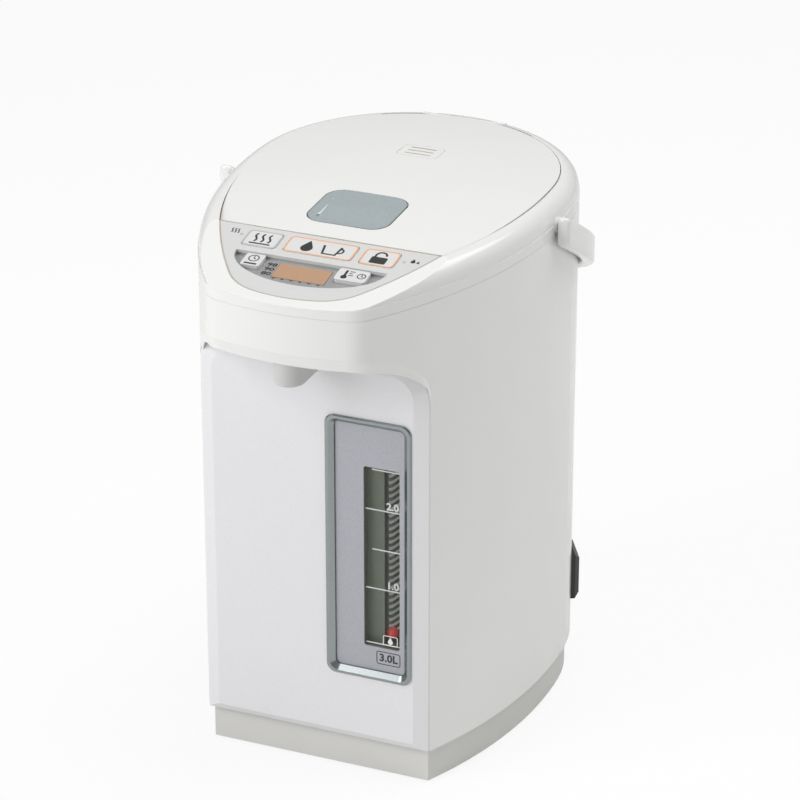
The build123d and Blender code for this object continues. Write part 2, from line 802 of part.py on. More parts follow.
# ------------------------------------------------------------------ vessel
vessel_r = 77.6  # 52.9 mm of water to the litre
vessel_wall = 1.2
vessel_floor = 76.7
outer_vessel_r = 88.0
outer_wall = 1.0
shoulder_z = 262.0
neck_r = 66.0
neck_z = 284.0
lip_r = 78.0
lip_top = 301.2
ring_hole_r = 46.0
outer_floor = 66.0
packing_r = 73.0
neck_gap = 3.0
gasket_r = 69.5
gasket_bore = 62.0

pump_y = vessel_y - 45.5
outlet_offset = 17.0
pump_x = tube_x - outlet_offset
nipple_r = 5.0
nipple_bore = 3.6

with BuildPart() as inner_vessel:
    with BuildSketch(Plane.XZ):
        with BuildLine():
            Polyline(
                (0, vessel_floor - vessel_wall),
                (vessel_r + vessel_wall, vessel_floor - vessel_wall),
                (vessel_r + vessel_wall, shoulder_z),
                (vessel_r, shoulder_z),
                (vessel_r, vessel_floor),
                (0, vessel_floor),
                close=True,
            )
        make_face()
    revolve(axis=Axis.Z)
    with BuildSketch(level(vessel_floor - vessel_wall)):
        with Locations((pump_x, pump_y - vessel_y)):
            Circle(nipple_bore)
    extrude(amount=vessel_wall, mode=Mode.SUBTRACT)
inner_vessel.part.locate(Location((0, vessel_y, 0)))
pieces["inner_vessel"] = inner_vessel

# the neck is welded onto the drawn cup
with BuildPart() as vessel_neck:
    with BuildSketch(Plane.XZ):
        with BuildLine():
            Polyline(
                (vessel_r, shoulder_z),
                (vessel_r + vessel_wall, shoulder_z),
                (neck_r + vessel_wall, neck_z),
                (neck_r + vessel_wall, lip_top - vessel_wall),
                (lip_r, lip_top - vessel_wall),
                (lip_r, lip_top),
                (neck_r, lip_top),
                (neck_r, neck_z),
                close=True,
            )
        make_face()
    revolve(axis=Axis.Z)
vessel_neck.part.locate(Location((0, vessel_y, 0)))
pieces["vessel_neck"] = vessel_neck

neck_outer_r = neck_r + vessel_wall + neck_gap
with BuildPart() as outer_vessel:
    with BuildSketch(Plane.XZ):
        with BuildLine():
            Polyline(
                (ring_hole_r, vessel_floor - vessel_wall),
                (ring_hole_r, outer_floor),
                (outer_vessel_r, outer_floor),
                (outer_vessel_r, shoulder_z),
                (neck_outer_r + outer_wall, neck_z),
                (neck_outer_r + outer_wall, lip_top - vessel_wall),
                (neck_outer_r, lip_top - vessel_wall),
                (neck_outer_r, neck_z),
                (outer_vessel_r - outer_wall, shoulder_z),
                (outer_vessel_r - outer_wall, outer_floor + outer_wall),
                (ring_hole_r + outer_wall, outer_floor + outer_wall),
                (ring_hole_r + outer_wall, vessel_floor - vessel_wall),
                close=True,
            )
        make_face()
    revolve(axis=Axis.Z)
    with BuildSketch(level(outer_floor)):
        with Locations((pump_x, pump_y - vessel_y)):
            Circle(nipple_r + fit)
    extrude(amount=outer_wall, mode=Mode.SUBTRACT)
outer_vessel.part.locate(Location((0, vessel_y, 0)))
pieces["outer_vessel"] = outer_vessel


def ring(outer, inner, bottom, top, x=0.0, y=vessel_y):
    """A plain ring added to the open part."""
    with BuildSketch(level(bottom)) as section:
        with Locations((x, y)):
            Circle(outer)
            Circle(inner, mode=Mode.SUBTRACT)
    extrude(section.sketch, amount=top - bottom)


def disc(radius, bottom, top, x=0.0, y=vessel_y, mode=Mode.ADD):
    """A plain disc or bore in the open part."""
    with BuildSketch(level(bottom)) as section:
        with Locations((x, y)):
            Circle(radius)
    extrude(section.sketch, amount=top - bottom, mode=mode)


with BuildPart() as mouth_packing:
    ring(collar_out, packing_r, lip_top, collar_bottom)
pieces["mouth_packing"] = mouth_packing

with BuildPart() as lid_gasket:
    ring(gasket_r, gasket_bore, lip_top + fit, plug_bottom)
pieces["lid_gasket"] = lid_gasket

heater_thick = 4.0
heater_r = 42.0
heater_bore = 9.0
under_vessel = vessel_floor - vessel_wall
with BuildPart() as heater_plate:
    ring(heater_r, heater_bore, under_vessel - heater_thick, under_vessel)
pieces["heater_plate"] = heater_plate

sensor_r = 5.0
sensor_height = 8.0
sensor_flange_r = 8.5
sensor_flange = 1.5

with BuildPart() as temperature_sensor:
    disc(sensor_r, under_vessel - sensor_height, under_vessel)
    disc(sensor_flange_r, under_vessel - sensor_flange, under_vessel)
pieces["temperature_sensor"] = temperature_sensor

cutout_x = 26.0
cutout_width = 12.0
cutout_length = 16.0
cutout_height = 4.0
cutout_corner = 2.0
cutout_bottom = under_vessel - heater_thick - cutout_height
with BuildPart() as thermal_cutouts:
    for side in (-1, 1):
        with BuildSketch(level(cutout_bottom)):
            with Locations((cutout_x * side, vessel_y)):
                RectangleRounded(cutout_width, cutout_length, cutout_corner)
        extrude(amount=cutout_height)
pieces["thermal_cutouts"] = thermal_cutouts

# ------------------------------------------------------------------ base
skirt_inset = wall + fit
skirt_wall = 2.5
skirt_top = base_height + 9.0
base_face_y = face_y + skirt_inset
flange = 6.0
flange_thick = 1.5
cover_thick = 2.5
cover_bottom = base_gap + flange_thick
cover_top = cover_bottom + cover_thick
foot_r = 8.0

with BuildPart() as base_skirt:
    with BuildSketch(level(base_gap)):
        plan_outline(inset=skirt_inset)
        keep_behind(base_face_y)
    extrude(amount=skirt_top - base_gap)
    with BuildSketch(level(base_gap)):
        plan_outline(inset=skirt_inset + skirt_wall)
        keep_behind(base_face_y + skirt_wall)
    extrude(amount=skirt_top - base_gap, mode=Mode.SUBTRACT)
    with BuildSketch(level(base_gap)):
        plan_outline(inset=skirt_inset + skirt_wall / 2)
        keep_behind(base_face_y + skirt_wall / 2)
    extrude(amount=flange_thick)
    with BuildSketch(level(base_gap)):
        plan_outline(inset=skirt_inset + skirt_wall + flange)
        keep_behind(base_face_y + skirt_wall + flange)
    extrude(amount=flange_thick, mode=Mode.SUBTRACT)
pieces["base_skirt"] = base_skirt

front_foot = (45.0, 24.0)  # across from the middle, and behind the front face
rear_foot = (62.0, 38.0)  # across from the middle, and behind the vessel's axis
feet = [(side * front_foot[0], face_y + front_foot[1]) for side in (-1, 1)]
feet += [(side * rear_foot[0], vessel_y + rear_foot[1]) for side in (-1, 1)]
screw_x = 58.0
screw_places = (-57.4, 56.6)  # ahead of and behind the vessel's axis
screws = [(side * screw_x, vessel_y + along) for along in screw_places for side in (-1, 1)]
frame_ring_in = 78.5
frame_ring_out = 83.0
screw_boss_r = 5.0
screw_r = 1.8
screw_head_r = 3.5
screw_head = 1.4
screw_length = 16.0
screw_spare = 4.0  # boss beyond the end of the screw's hole
screw_slot = 4.2
screw_slot_width = 0.9
hose_window = (22.0, 28.0)
hose_window_z = 48.0
wire_window = (30.0, 24.0)
wire_window_x = -20.0
wire_window_z = 40.0

with BuildPart() as bottom_cover:
    with BuildSketch(level(cover_bottom)):
        plan_outline(inset=skirt_inset + skirt_wall + fit)
        keep_behind(base_face_y + skirt_wall + fit)
    extrude(amount=cover_thick)
    with BuildSketch(level(cover_bottom)):
        with Locations(*screws):
            Circle(screw_r + fit)
    extrude(amount=cover_thick, mode=Mode.SUBTRACT)
pieces["bottom_cover"] = bottom_cover

with BuildPart() as feet_pads:
    with BuildSketch(level(0)):
        with Locations(*feet):
            Circle(foot_r)
    extrude(amount=cover_bottom)
pieces["rubber_feet"] = feet_pads

with BuildPart() as lower_frame:
    ring(frame_ring_out, frame_ring_in, cover_top, outer_floor)
    with BuildSketch(level(cover_top)):
        with Locations(*screws):
            Circle(screw_boss_r)
    extrude(amount=screw_length + screw_spare)
    # windows for the water hose and the wiring
    with BuildSketch(Plane.XZ.offset(-vessel_y)):
        with Locations((tube_x, hose_window_z)):
            Rectangle(*hose_window)
        with Locations((wire_window_x, wire_window_z)):
            Rectangle(*wire_window)
    extrude(amount=frame_ring_out + 1, mode=Mode.SUBTRACT)
    with BuildSketch(level(cover_top)):
        with Locations(*screws):
            Circle(screw_r + running)
    extrude(amount=screw_length, mode=Mode.SUBTRACT)
pieces["lower_frame"] = lower_frame

with BuildPart() as base_screws:
    with BuildSketch(level(cover_bottom - screw_head)):
        with Locations(*screws):
            Circle(screw_head_r)
    extrude(amount=screw_head)
    with BuildSketch(level(cover_bottom)):
        with Locations(*screws):
            Circle(screw_r)
    extrude(amount=cover_thick + screw_length - screw_spare / 2)
    with BuildSketch(level(cover_bottom - screw_head)):
        with Locations(*screws):
            Rectangle(screw_slot, screw_slot_width)
            Rectangle(screw_slot_width, screw_slot)
    extrude(amount=screw_head / 2, mode=Mode.SUBTRACT)
pieces["base_screws"] = base_screws

# ------------------------------------------------------------------ pump
motor_r = 15.0
motor_top = 34.0
magnet_r = 13.0
magnet_bottom = 36.0
magnet_top = 40.5
housing_bottom = 41.2
housing_floor = 43.2
housing_top = 57.0
housing_in = 20.0
housing_out = 23.0
cover_height = 4.0
spindle_r = 1.5
outlet_z = 50.0
outlet_r = tube_r
outlet_bore = 3.5
outlet_end = -38.0
impeller_r = 18.0
impeller_bottom = 44.2
impeller_top = 55.0
shaft_r = 1.6
motor_cap = 1.0
motor_step = 3.0  # end cap's radius under the motor's
shaft_in = 8.0
housing_leg_r = 2.5
disc_thick = 1.8
impeller_step = 1.0  # hub, vanes and spindle end one below the other

with BuildPart() as pump_motor:
    disc(motor_r, cover_top, motor_top, pump_x, pump_y)
    disc(motor_r - motor_step, motor_top, motor_top + motor_cap, pump_x, pump_y)
    bore_bottom = motor_top - shaft_in - motor_cap
    bore_top = motor_top + motor_cap
    disc(shaft_r + running, bore_bottom, bore_top, pump_x, pump_y, mode=Mode.SUBTRACT)
pieces["pump_motor"] = pump_motor

with BuildPart() as drive_magnet:
    disc(magnet_r, magnet_bottom, magnet_top, pump_x, pump_y)
    disc(shaft_r, motor_top - shaft_in, magnet_bottom, pump_x, pump_y)
pieces["drive_magnet"] = drive_magnet

with BuildPart() as pump_housing:
    disc(housing_out, housing_bottom, housing_top, pump_x, pump_y)
    with BuildSketch(Plane.XZ.offset(-pump_y)):
        with Locations((tube_x, outlet_z)):
            Circle(outlet_r)
    extrude(amount=pump_y - outlet_end)
    with BuildSketch(level(cover_top)):
        with Locations((pump_x, pump_y)):
            with PolarLocations(housing_in, 3, start_angle=60):
                Circle(housing_leg_r)
    extrude(amount=housing_bottom - cover_top)
    disc(housing_in, housing_floor, housing_top, pump_x, pump_y, mode=Mode.SUBTRACT)
    disc(spindle_r, housing_floor, impeller_top, pump_x, pump_y)
    with BuildSketch(Plane.XZ.offset(-pump_y)):
        with Locations((tube_x, outlet_z)):
            Circle(outlet_bore)
    extrude(amount=pump_y - outlet_end, mode=Mode.SUBTRACT)
pieces["pump_housing"] = pump_housing

with BuildPart() as pump_cover:
    disc(housing_out, housing_top, housing_top + cover_height, pump_x, pump_y)
    disc(nipple_r + running, housing_top, housing_top + cover_height, pump_x, pump_y, mode=Mode.SUBTRACT)
pieces["pump_cover"] = pump_cover

vane_count = 6
vane_thick = 1.6
vane_sweep = 25.0
hub_r = 4.0
with BuildPart() as impeller:
    disc(impeller_r, impeller_bottom, impeller_bottom + disc_thick, pump_x, pump_y)
    disc(hub_r, impeller_bottom, impeller_top - impeller_step, pump_x, pump_y)
    with BuildSketch(level(impeller_bottom)):
        with Locations((pump_x, pump_y)):
            with PolarLocations((impeller_r + hub_r) / 2 - 1, vane_count):
                Rectangle(impeller_r - hub_r, vane_thick, rotation=vane_sweep)
    extrude(amount=impeller_top - 2 * impeller_step - impeller_bottom)
    disc(spindle_r + running, impeller_bottom, impeller_top, pump_x, pump_y, mode=Mode.SUBTRACT)
pieces["impeller"] = impeller

with BuildPart() as outlet_nipple:
    ring(nipple_r, nipple_bore, housing_top, vessel_floor - vessel_wall, pump_x, pump_y)
pieces["outlet_nipple"] = outlet_nipple

# ------------------------------------------------------------------ hoses
hose_bore = tube_r + running
pump_hose_bend = 11.0
delivery_hose_bend = 10.0
hose_overlap = 6.0
riser_z = 308.0


def hose(path_points, bend):
    """A hose swept along straight runs with equal bends, added to the open part."""
    with BuildLine() as path:
        FilletPolyline(*path_points, radius=bend)
    start = path.wire() @ 0
    ahead = path.wire() % 0
    with BuildSketch(Plane(origin=start, z_dir=ahead)) as section:
        Circle(hose_r)
        Circle(hose_bore, mode=Mode.SUBTRACT)
    sweep(section.sketch, path=path.wire())


with BuildPart() as pump_hose:
    hose(
        [
            (tube_x, outlet_end + hose_overlap, outlet_z),
            (tube_x, tube_y, outlet_z),
            (tube_x, tube_y, tube_bottom_z + hose_overlap),
        ],
        pump_hose_bend,
    )
pieces["pump_hose"] = pump_hose

with BuildPart() as delivery_hose:
    hose(
        [
            (tube_x, tube_y, tube_top_z - hose_overlap),
            (tube_x, tube_y, riser_z),
            (0, spout_y, riser_z),
            (0, spout_y, spout_top_z - hose_overlap + 1),
        ],
        delivery_hose_bend,
    )
pieces["delivery_hose"] = delivery_hose

# ------------------------------------------------------------------ boards
power_z = 14.0
board_x = -18.0
board_y = face_y + 35.0
board_w = 100.0
board_d = 42.0
capacitor_r = 8.5
capacitor_h = 30.0
capacitor_x = (-6.0, 14.0, 34.0)  # across, from the middle of the board
power_corner = 2.0
post_r = 2.5
post_inset = 5.0
transformer = (24.0, 28.0, 20.0)
transformer_x = -32.0

with BuildPart() as power_board:
    with BuildSketch(level(power_z)):
        with Locations((board_x, board_y)):
            RectangleRounded(board_w, board_d, power_corner)
    extrude(amount=board_thick)
    with BuildSketch(level(cover_top)):
        with Locations((board_x, board_y)):
            with GridLocations(board_w - 2 * post_inset, board_d - 2 * post_inset, 2, 2):
                Circle(post_r)
    extrude(amount=power_z - cover_top)
    with BuildSketch(level(power_z + board_thick)):
        with Locations((board_x + transformer_x, board_y)):
            Rectangle(transformer[0], transformer[1])
    extrude(amount=transformer[2])
pieces["power_board"] = power_board

with BuildPart() as capacitor_bank:
    with BuildSketch(level(power_z + board_thick)):
        with Locations(*[(board_x + across, board_y) for across in capacitor_x]):
            Circle(capacitor_r)
    extrude(amount=capacitor_h)
pieces["capacitor_bank"] = capacitor_bank

# ------------------------------------------------------------------ power inlet
inlet_recess_w = 22.0
inlet_recess_h = 12.0
inlet_recess = 8.0
inlet_chamfer = 3.0
contact_r = 1.5
contact_pitch = 12.0
contact_length = 4.0
magnet_width = 14.0
magnet_height = 5.0
magnet_z = 9.5  # magnet plates above and below the middle of the inlet

with BuildPart() as power_inlet:
    with BuildSketch(inlet_plane.offset(-inlet_depth)):
        Rectangle(inlet_width, inlet_height)
    extrude(amount=inlet_depth + inlet_proud)
    outer_face = power_inlet.faces().sort_by(Axis((0, 0, 0), inlet_dir))[-1]
    chamfer(outer_face.edges(), inlet_chamfer)
    with BuildSketch(inlet_plane.offset(inlet_proud)):
        Rectangle(inlet_recess_w, inlet_recess_h)
        with Locations((0, magnet_z), (0, -magnet_z)):
            Rectangle(magnet_width, magnet_height)
    extrude(amount=-inlet_recess, mode=Mode.SUBTRACT)
pieces["power_inlet"] = power_inlet

with BuildPart() as inlet_contacts:
    with BuildSketch(inlet_plane.offset(inlet_proud - inlet_recess)):
        with Locations((-contact_pitch / 2, 0), (contact_pitch / 2, 0)):
            Circle(contact_r)
    extrude(amount=contact_length)
    with BuildSketch(inlet_plane.offset(inlet_proud - inlet_recess)):
        with Locations((0, magnet_z), (0, -magnet_z)):
            Rectangle(magnet_width - fit, magnet_height - fit)
    extrude(amount=inlet_recess - 1)
pieces["inlet_contacts"] = inlet_contacts

# ------------------------------------------------------------------ lid fittings
lever_bottom = 338.4
dish_width = 39.0
dish_depth = 2.6
dish_edge = 1.2  # crown's fall at the dish's front wall
dish_front = 5.0
dish_rear = 8.0

with BuildPart() as latch_lever:
    with BuildSketch(level(lever_bottom)):
        with Locations((0, lever_y)):
            RectangleRounded(lever_width, lever_length, lever_r - lever_gap)
    extrude(amount=crown_z - lever_bottom)
    with Locations((0, crown_y, crown_z - crown_r)):
        Sphere(crown_r, mode=Mode.INTERSECT)
    # finger dish, deepest at its front wall
    with BuildSketch(Plane.YZ.offset(-dish_width / 2)):
        with BuildLine():
            Polyline(
                (lever_front + dish_front, crown_z + 1),
                (lever_front + dish_front, crown_z - dish_edge - dish_depth),
                (lever_front + lever_length - dish_rear, crown_z + 0.2),
                (lever_front + lever_length - dish_rear, crown_z + 1),
                close=True,
            )
        make_face()
    extrude(amount=dish_width, mode=Mode.SUBTRACT)
    with BuildSketch(Plane.YZ.offset(-lever_width / 2)):
        with Locations((lever_pin_y, lever_pin_z)):
            Circle(lever_pin_r + running)
    extrude(amount=lever_width, mode=Mode.SUBTRACT)
pieces["latch_lever"] = latch_lever

with BuildPart() as lever_pin:
    with BuildSketch(Plane.YZ.offset(-lever_width / 2 - lever_gap - well_wall)):
        with Locations((lever_pin_y, lever_pin_z)):
            Circle(lever_pin_r)
    extrude(amount=lever_width + 2 * (lever_gap + well_wall))
pieces["lever_pin"] = lever_pin

with BuildPart() as latch_bolt:
    with BuildSketch(level(bolt_z)):
        with Locations((0, joint_y + fit + bolt_length / 2)):
            Rectangle(bolt_width, bolt_length)
    extrude(amount=bolt_thick)
    chamfer(latch_bolt.edges().filter_by(Axis.X).group_by(Axis.Y)[0].sort_by(Axis.Z)[0], bolt_edge)
pieces["latch_bolt"] = latch_bolt

slot_length = 17.0
slot_width = 1.4
slot_pitch = 5.1
with BuildPart() as steam_cover:
    with BuildSketch(level(crown_z - steam_thick - steam_seat)):
        with Locations((0, steam_y)):
            RectangleRounded(steam_width, steam_length, steam_r - fit)
    extrude(amount=2 * steam_thick)
    with Locations((0, crown_y, crown_z - crown_r)):
        Sphere(crown_r, mode=Mode.INTERSECT)
    with BuildSketch(level(crown_z - 2 * steam_thick)):
        with Locations((0, steam_y)):
            with GridLocations(0, slot_pitch, 1, 3):
                SlotOverall(slot_length, slot_width)
    extrude(amount=3 * steam_thick, mode=Mode.SUBTRACT)
pieces["steam_cover"] = steam_cover

with BuildPart() as steam_duct:
    ring(duct_r, duct_bore, plug_bottom + plug_wall, crown_z - steam_thick - steam_seat, 0, steam_y)
pieces["steam_duct"] = steam_duct

# ------------------------------------------------------------------ handle
tilt_handle = radians(handle_tilt)
handle_plane = Plane(
    origin=(0, pivot_y, handle_pivot_z - handle_drop),
    x_dir=(1, 0, 0),
    z_dir=(0, sin(tilt_handle), cos(tilt_handle)),
)
handle_in = pivot_half + handle_gap
handle_end_r = 4.0
handle_out = handle_in + handle_thick
pin_end = handle_out - pivot_blind

with BuildPart() as handle:
    with BuildSketch(level(handle_pivot_z - body_depth / 2)):
        plan_outline(inset=-handle_gap - handle_thick)
        plan_outline(inset=-handle_gap, mode=Mode.SUBTRACT)
        keep_behind(pivot_y - handle_ahead)
    extrude(amount=body_depth)
    split(bisect_by=handle_plane.offset(handle_height / 2), keep=Keep.BOTTOM)
    split(bisect_by=handle_plane.offset(-handle_height / 2), keep=Keep.TOP)
    ends = handle.edges().filter_by(Axis.X).group_by(Axis.Y)[0]
    fillet(ends, handle_end_r)
    for side in (-1, 1):
        with BuildSketch(Plane.YZ.offset(side * (handle_in - fit))):
            with Locations((pivot_y, handle_pivot_z)):
                Circle(pivot_pin_r + running)
        extrude(amount=side * (handle_thick - pivot_blind + 2 * fit), mode=Mode.SUBTRACT)
pieces["handle"] = handle

with BuildPart() as pivot_pins:
    for side in (-1, 1):
        with BuildSketch(Plane.YZ.offset(side * (pivot_half - pivot_grip))):
            with Locations((pivot_y, handle_pivot_z)):
                Circle(pivot_pin_r)
        extrude(amount=side * (pin_end - pivot_half + pivot_grip))
pieces["pivot_pins"] = pivot_pins

# ------------------------------------------------------------------ write
os.makedirs("parts", exist_ok=True)
for name, piece in pieces.items():
    piece.part.label = name
    export_step(piece.part, f"parts/{name}.step")
print(len(pieces), "parts written")
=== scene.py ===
# %% [markdown]
# # Electric thermo pot
# The pot arrives as a fixed set of engineering parts. This notebook loads them, gives every part
# the finish of its real material, adds the printed marks and the small fittings that a drawing
# leaves out, and sets the camera and the lights. Everything is in metres, with the pot standing
# on z = 0 and its front towards -Y.

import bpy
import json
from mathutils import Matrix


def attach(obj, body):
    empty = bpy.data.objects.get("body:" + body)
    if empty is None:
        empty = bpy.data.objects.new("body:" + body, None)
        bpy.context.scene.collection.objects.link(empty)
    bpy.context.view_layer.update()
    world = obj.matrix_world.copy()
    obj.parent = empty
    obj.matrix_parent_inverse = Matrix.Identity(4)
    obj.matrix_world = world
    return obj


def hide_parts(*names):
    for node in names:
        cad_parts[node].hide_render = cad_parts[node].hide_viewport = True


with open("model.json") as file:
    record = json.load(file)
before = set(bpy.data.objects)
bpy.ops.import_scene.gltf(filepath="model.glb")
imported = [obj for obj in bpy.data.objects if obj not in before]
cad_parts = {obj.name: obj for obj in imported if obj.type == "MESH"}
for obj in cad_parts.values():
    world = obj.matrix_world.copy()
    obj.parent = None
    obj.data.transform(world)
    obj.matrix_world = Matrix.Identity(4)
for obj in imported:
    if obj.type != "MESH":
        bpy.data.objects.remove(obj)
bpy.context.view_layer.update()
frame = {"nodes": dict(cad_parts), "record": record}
nodes = frame["nodes"]

# %% [markdown]
# ## Tools
# Three of Blender's own modules do the work. `bpy` holds the scene, `bmesh` edits a mesh face by
# face, and `mathutils` has vectors, matrices and the convex hull that later steps use to find a
# part's outline. Small sizes are easier to read in millimetres, so one constant turns them into
# metres.

# %% Tools
import json
import math

import bmesh
import bpy
from mathutils import Matrix, Vector
from mathutils.geometry import convex_hull_2d

MM = 0.001

# %% [markdown]
# ## Shader arithmetic
# A material is a small program. Writing it as Python expressions keeps it readable: one class
# wraps a socket, `a * b` adds a Math node, and `add` makes any other node.


# %% Shader arithmetic
class Wire:
    """One output socket of a node tree, with arithmetic that adds Math nodes."""

    def __init__(self, tree, socket=None):
        self.tree = tree
        self.socket = socket

    def add(self, kind, settings=None, inputs=None, output=0):
        """A new node: an input that is a wire is linked, and any other is set on its socket."""
        node = self.tree.nodes.new(kind)
        for name, value in (settings or {}).items():
            setattr(node, name, value)
        for key, value in (inputs or {}).items():
            if isinstance(value, Wire):
                self.tree.links.new(value.socket, node.inputs[key])
            else:
                node.inputs[key].default_value = value
        return Wire(self.tree, node.outputs[output])

    def math(self, operation, *values):
        """A Math node on wires and numbers."""
        return self.add("ShaderNodeMath", {"operation": operation}, dict(enumerate(values)))

    def __add__(self, other):
        return self.math("ADD", self, other)

    def __mul__(self, other):
        return self.math("MULTIPLY", self, other)

    __radd__ = __add__
    __rmul__ = __mul__

    def blend(self, low, high):
        """The colour that goes from low to high as this value goes from 0 to 1."""
        inputs = {0: self, 6: low, 7: high}  # the Mix node's factor and its two colour sockets
        return self.add("ShaderNodeMix", {"data_type": "RGBA"}, inputs, output=2)

    def axis(self, letter):
        """One coordinate of a vector."""
        return self.add("ShaderNodeSeparateXYZ", None, {0: self}, output=letter)


def start_material(name):
    """A new material, its Principled node and a wire in its tree."""
    material = bpy.data.materials.new(name)
    material.use_nodes = True
    tree = material.node_tree
    return material, tree.nodes["Principled BSDF"], Wire(tree)


def place_of(wire):
    """Object coordinates, in metres: the place on the pot itself."""
    return wire.add("ShaderNodeTexCoord", output="Object")


def feed(principled, name, value):
    """Set one socket of the Principled node to a number, a colour or a wire."""
    if isinstance(value, Wire):
        value.tree.links.new(value.socket, principled.inputs[name])
    elif isinstance(value, tuple):
        principled.inputs[name].default_value = (*value, 1.0)
    else:
        principled.inputs[name].default_value = value


def noise(wire, place, size, detail=2.0, rough=0.5):
    """Noise whose grains are about size metres across."""
    inputs = {"Vector": place, "Scale": 1 / size, "Detail": detail, "Roughness": rough}
    return wire.add("ShaderNodeTexNoise", None, inputs)


def bump(wire, height, distance, strength=1.0):
    """A normal tipped by a height, where distance is the tallest step in metres."""
    inputs = {"Height": height, "Distance": distance, "Strength": strength}
    return wire.add("ShaderNodeBump", None, inputs)


# %% [markdown]
# ## Plastics, paints, glass and metal
# Most of the pot is injection-moulded plastic. A polished tool leaves a nearly perfect gloss with
# a faint long wave in it; a spark-eroded tool leaves a fine grain. One function makes both, from
# the size and depth of the grain, with a little drift in colour and gloss so that no face is dead
# flat. The silver faces are flake paint, the window and its tube are clear, and the vessel, pins
# and contacts are metal. One table then names every finish.


# %% Plastics, paints, glass and metal
CLOUD = 0.06  # metres across one patch of the drift in colour and gloss
ROUGH_LOW = 0.85  # a patch's lowest roughness, as a share of the one asked for
ROUGH_SPAN = 0.3  # how much rougher the roughest patch is


def tones(colour, low, high):
    """A deeper and a paler tone of a colour, for the two ends of a blend."""
    deep = tuple(c * low for c in colour)
    pale = tuple(min(1.0, c * high) for c in colour)
    return (*deep, 1.0), (*pale, 1.0)


def plastic(name, colour, roughness, grain, depth, drift=0.015, coat=0.0, glow=0.0):
    """Moulded plastic, with the size and depth of its grain in metres."""
    material, surface, wire = start_material(name)
    place = place_of(wire)
    cloud = noise(wire, place, size=CLOUD, detail=3.0)
    fine = noise(wire, place, size=grain, detail=3.0, rough=0.6)
    feed(surface, "Base Color", cloud.blend(*tones(colour, 1 - drift, 1 + drift)))
    feed(surface, "Roughness", roughness * ROUGH_LOW + cloud * roughness * ROUGH_SPAN)
    feed(surface, "Normal", bump(wire, fine, depth))
    feed(surface, "Coat Weight", coat)
    feed(surface, "Coat Roughness", 0.06)
    feed(surface, "IOR", 1.5)
    # glow is painted light: a part given it shines although it is no lamp
    feed(surface, "Emission Color", colour)
    feed(surface, "Emission Strength", glow)
    return material


FLAKE = 0.0004  # metres across one flake of paint
FLAKE_TIP = 0.05  # how far a flake stands up, as a share of its size


def flake_paint(name, colour, metallic, roughness, sparkle=0.10):
    """Silver or pearl paint: tiny flakes, each with its own shade and tipped its own way."""
    material, surface, wire = start_material(name)
    place = place_of(wire)
    scale = {"Vector": place, "Scale": 1 / FLAKE}
    cells = wire.add("ShaderNodeTexVoronoi", None, scale, output="Color")
    grey = wire.add("ShaderNodeSeparateColor", None, {0: cells})
    cloud = noise(wire, place, size=0.05)
    feed(surface, "Base Color", grey.blend(*tones(colour, 1 - sparkle, 1 + sparkle)))
    feed(surface, "Metallic", metallic)
    # most of the roughness is even, and the flakes and the slow patches add the rest
    feed(surface, "Roughness", roughness * 0.8 + grey * roughness * 0.25 + cloud * roughness * 0.15)
    feed(surface, "Normal", bump(wire, grey, FLAKE * FLAKE_TIP, 0.4))
    feed(surface, "Coat Weight", 0.5)
    feed(surface, "Coat Roughness", 0.08)
    return material


SMEAR = 0.02  # how much a finger's smear adds to a glazing's veil and to its roughness


def clear(name, colour, alpha):
    """Clear glazing: mostly see-through, with its gloss kept."""
    material, surface, wire = start_material(name)
    smear = noise(wire, place_of(wire), size=0.012, detail=3.0)
    feed(surface, "Base Color", colour)
    feed(surface, "Alpha", alpha + smear * SMEAR)
    feed(surface, "Roughness", 0.03 + smear * SMEAR)
    return material


SCRATCH = 0.002  # metres across one scratch, before the grain draws it out
SCRATCH_DEPTH = 0.00001


def metal(name, colour, roughness, grain=(1.0, 1.0, 1.0)):
    """Plain or brushed metal: the grain vector stretches the scratches along one axis."""
    material, surface, wire = start_material(name)
    place = wire.add("ShaderNodeMapping", None, {"Vector": place_of(wire), "Scale": grain})
    scratches = noise(wire, place, size=SCRATCH, detail=4.0, rough=0.6)
    cloud = noise(wire, place_of(wire), size=0.03)
    feed(surface, "Base Color", scratches.blend(*tones(colour, 0.92, 1.06)))
    feed(surface, "Metallic", 1.0)
    # the scratches dull the metal more than the slow patches do
    dull = roughness * 0.7 + scratches * roughness * 0.4 + cloud * roughness * 0.2
    feed(surface, "Roughness", dull)
    feed(surface, "Normal", bump(wire, scratches, SCRATCH_DEPTH, 0.5))
    return material


WHITE = (0.82, 0.82, 0.812)
ALONG_PIN = (1.0, 4.0, 4.0)  # scratches drawn out along X
ROUND_VESSEL = (1.0, 1.0, 12.0)  # scratches packed close in Z, so they run round the vessel

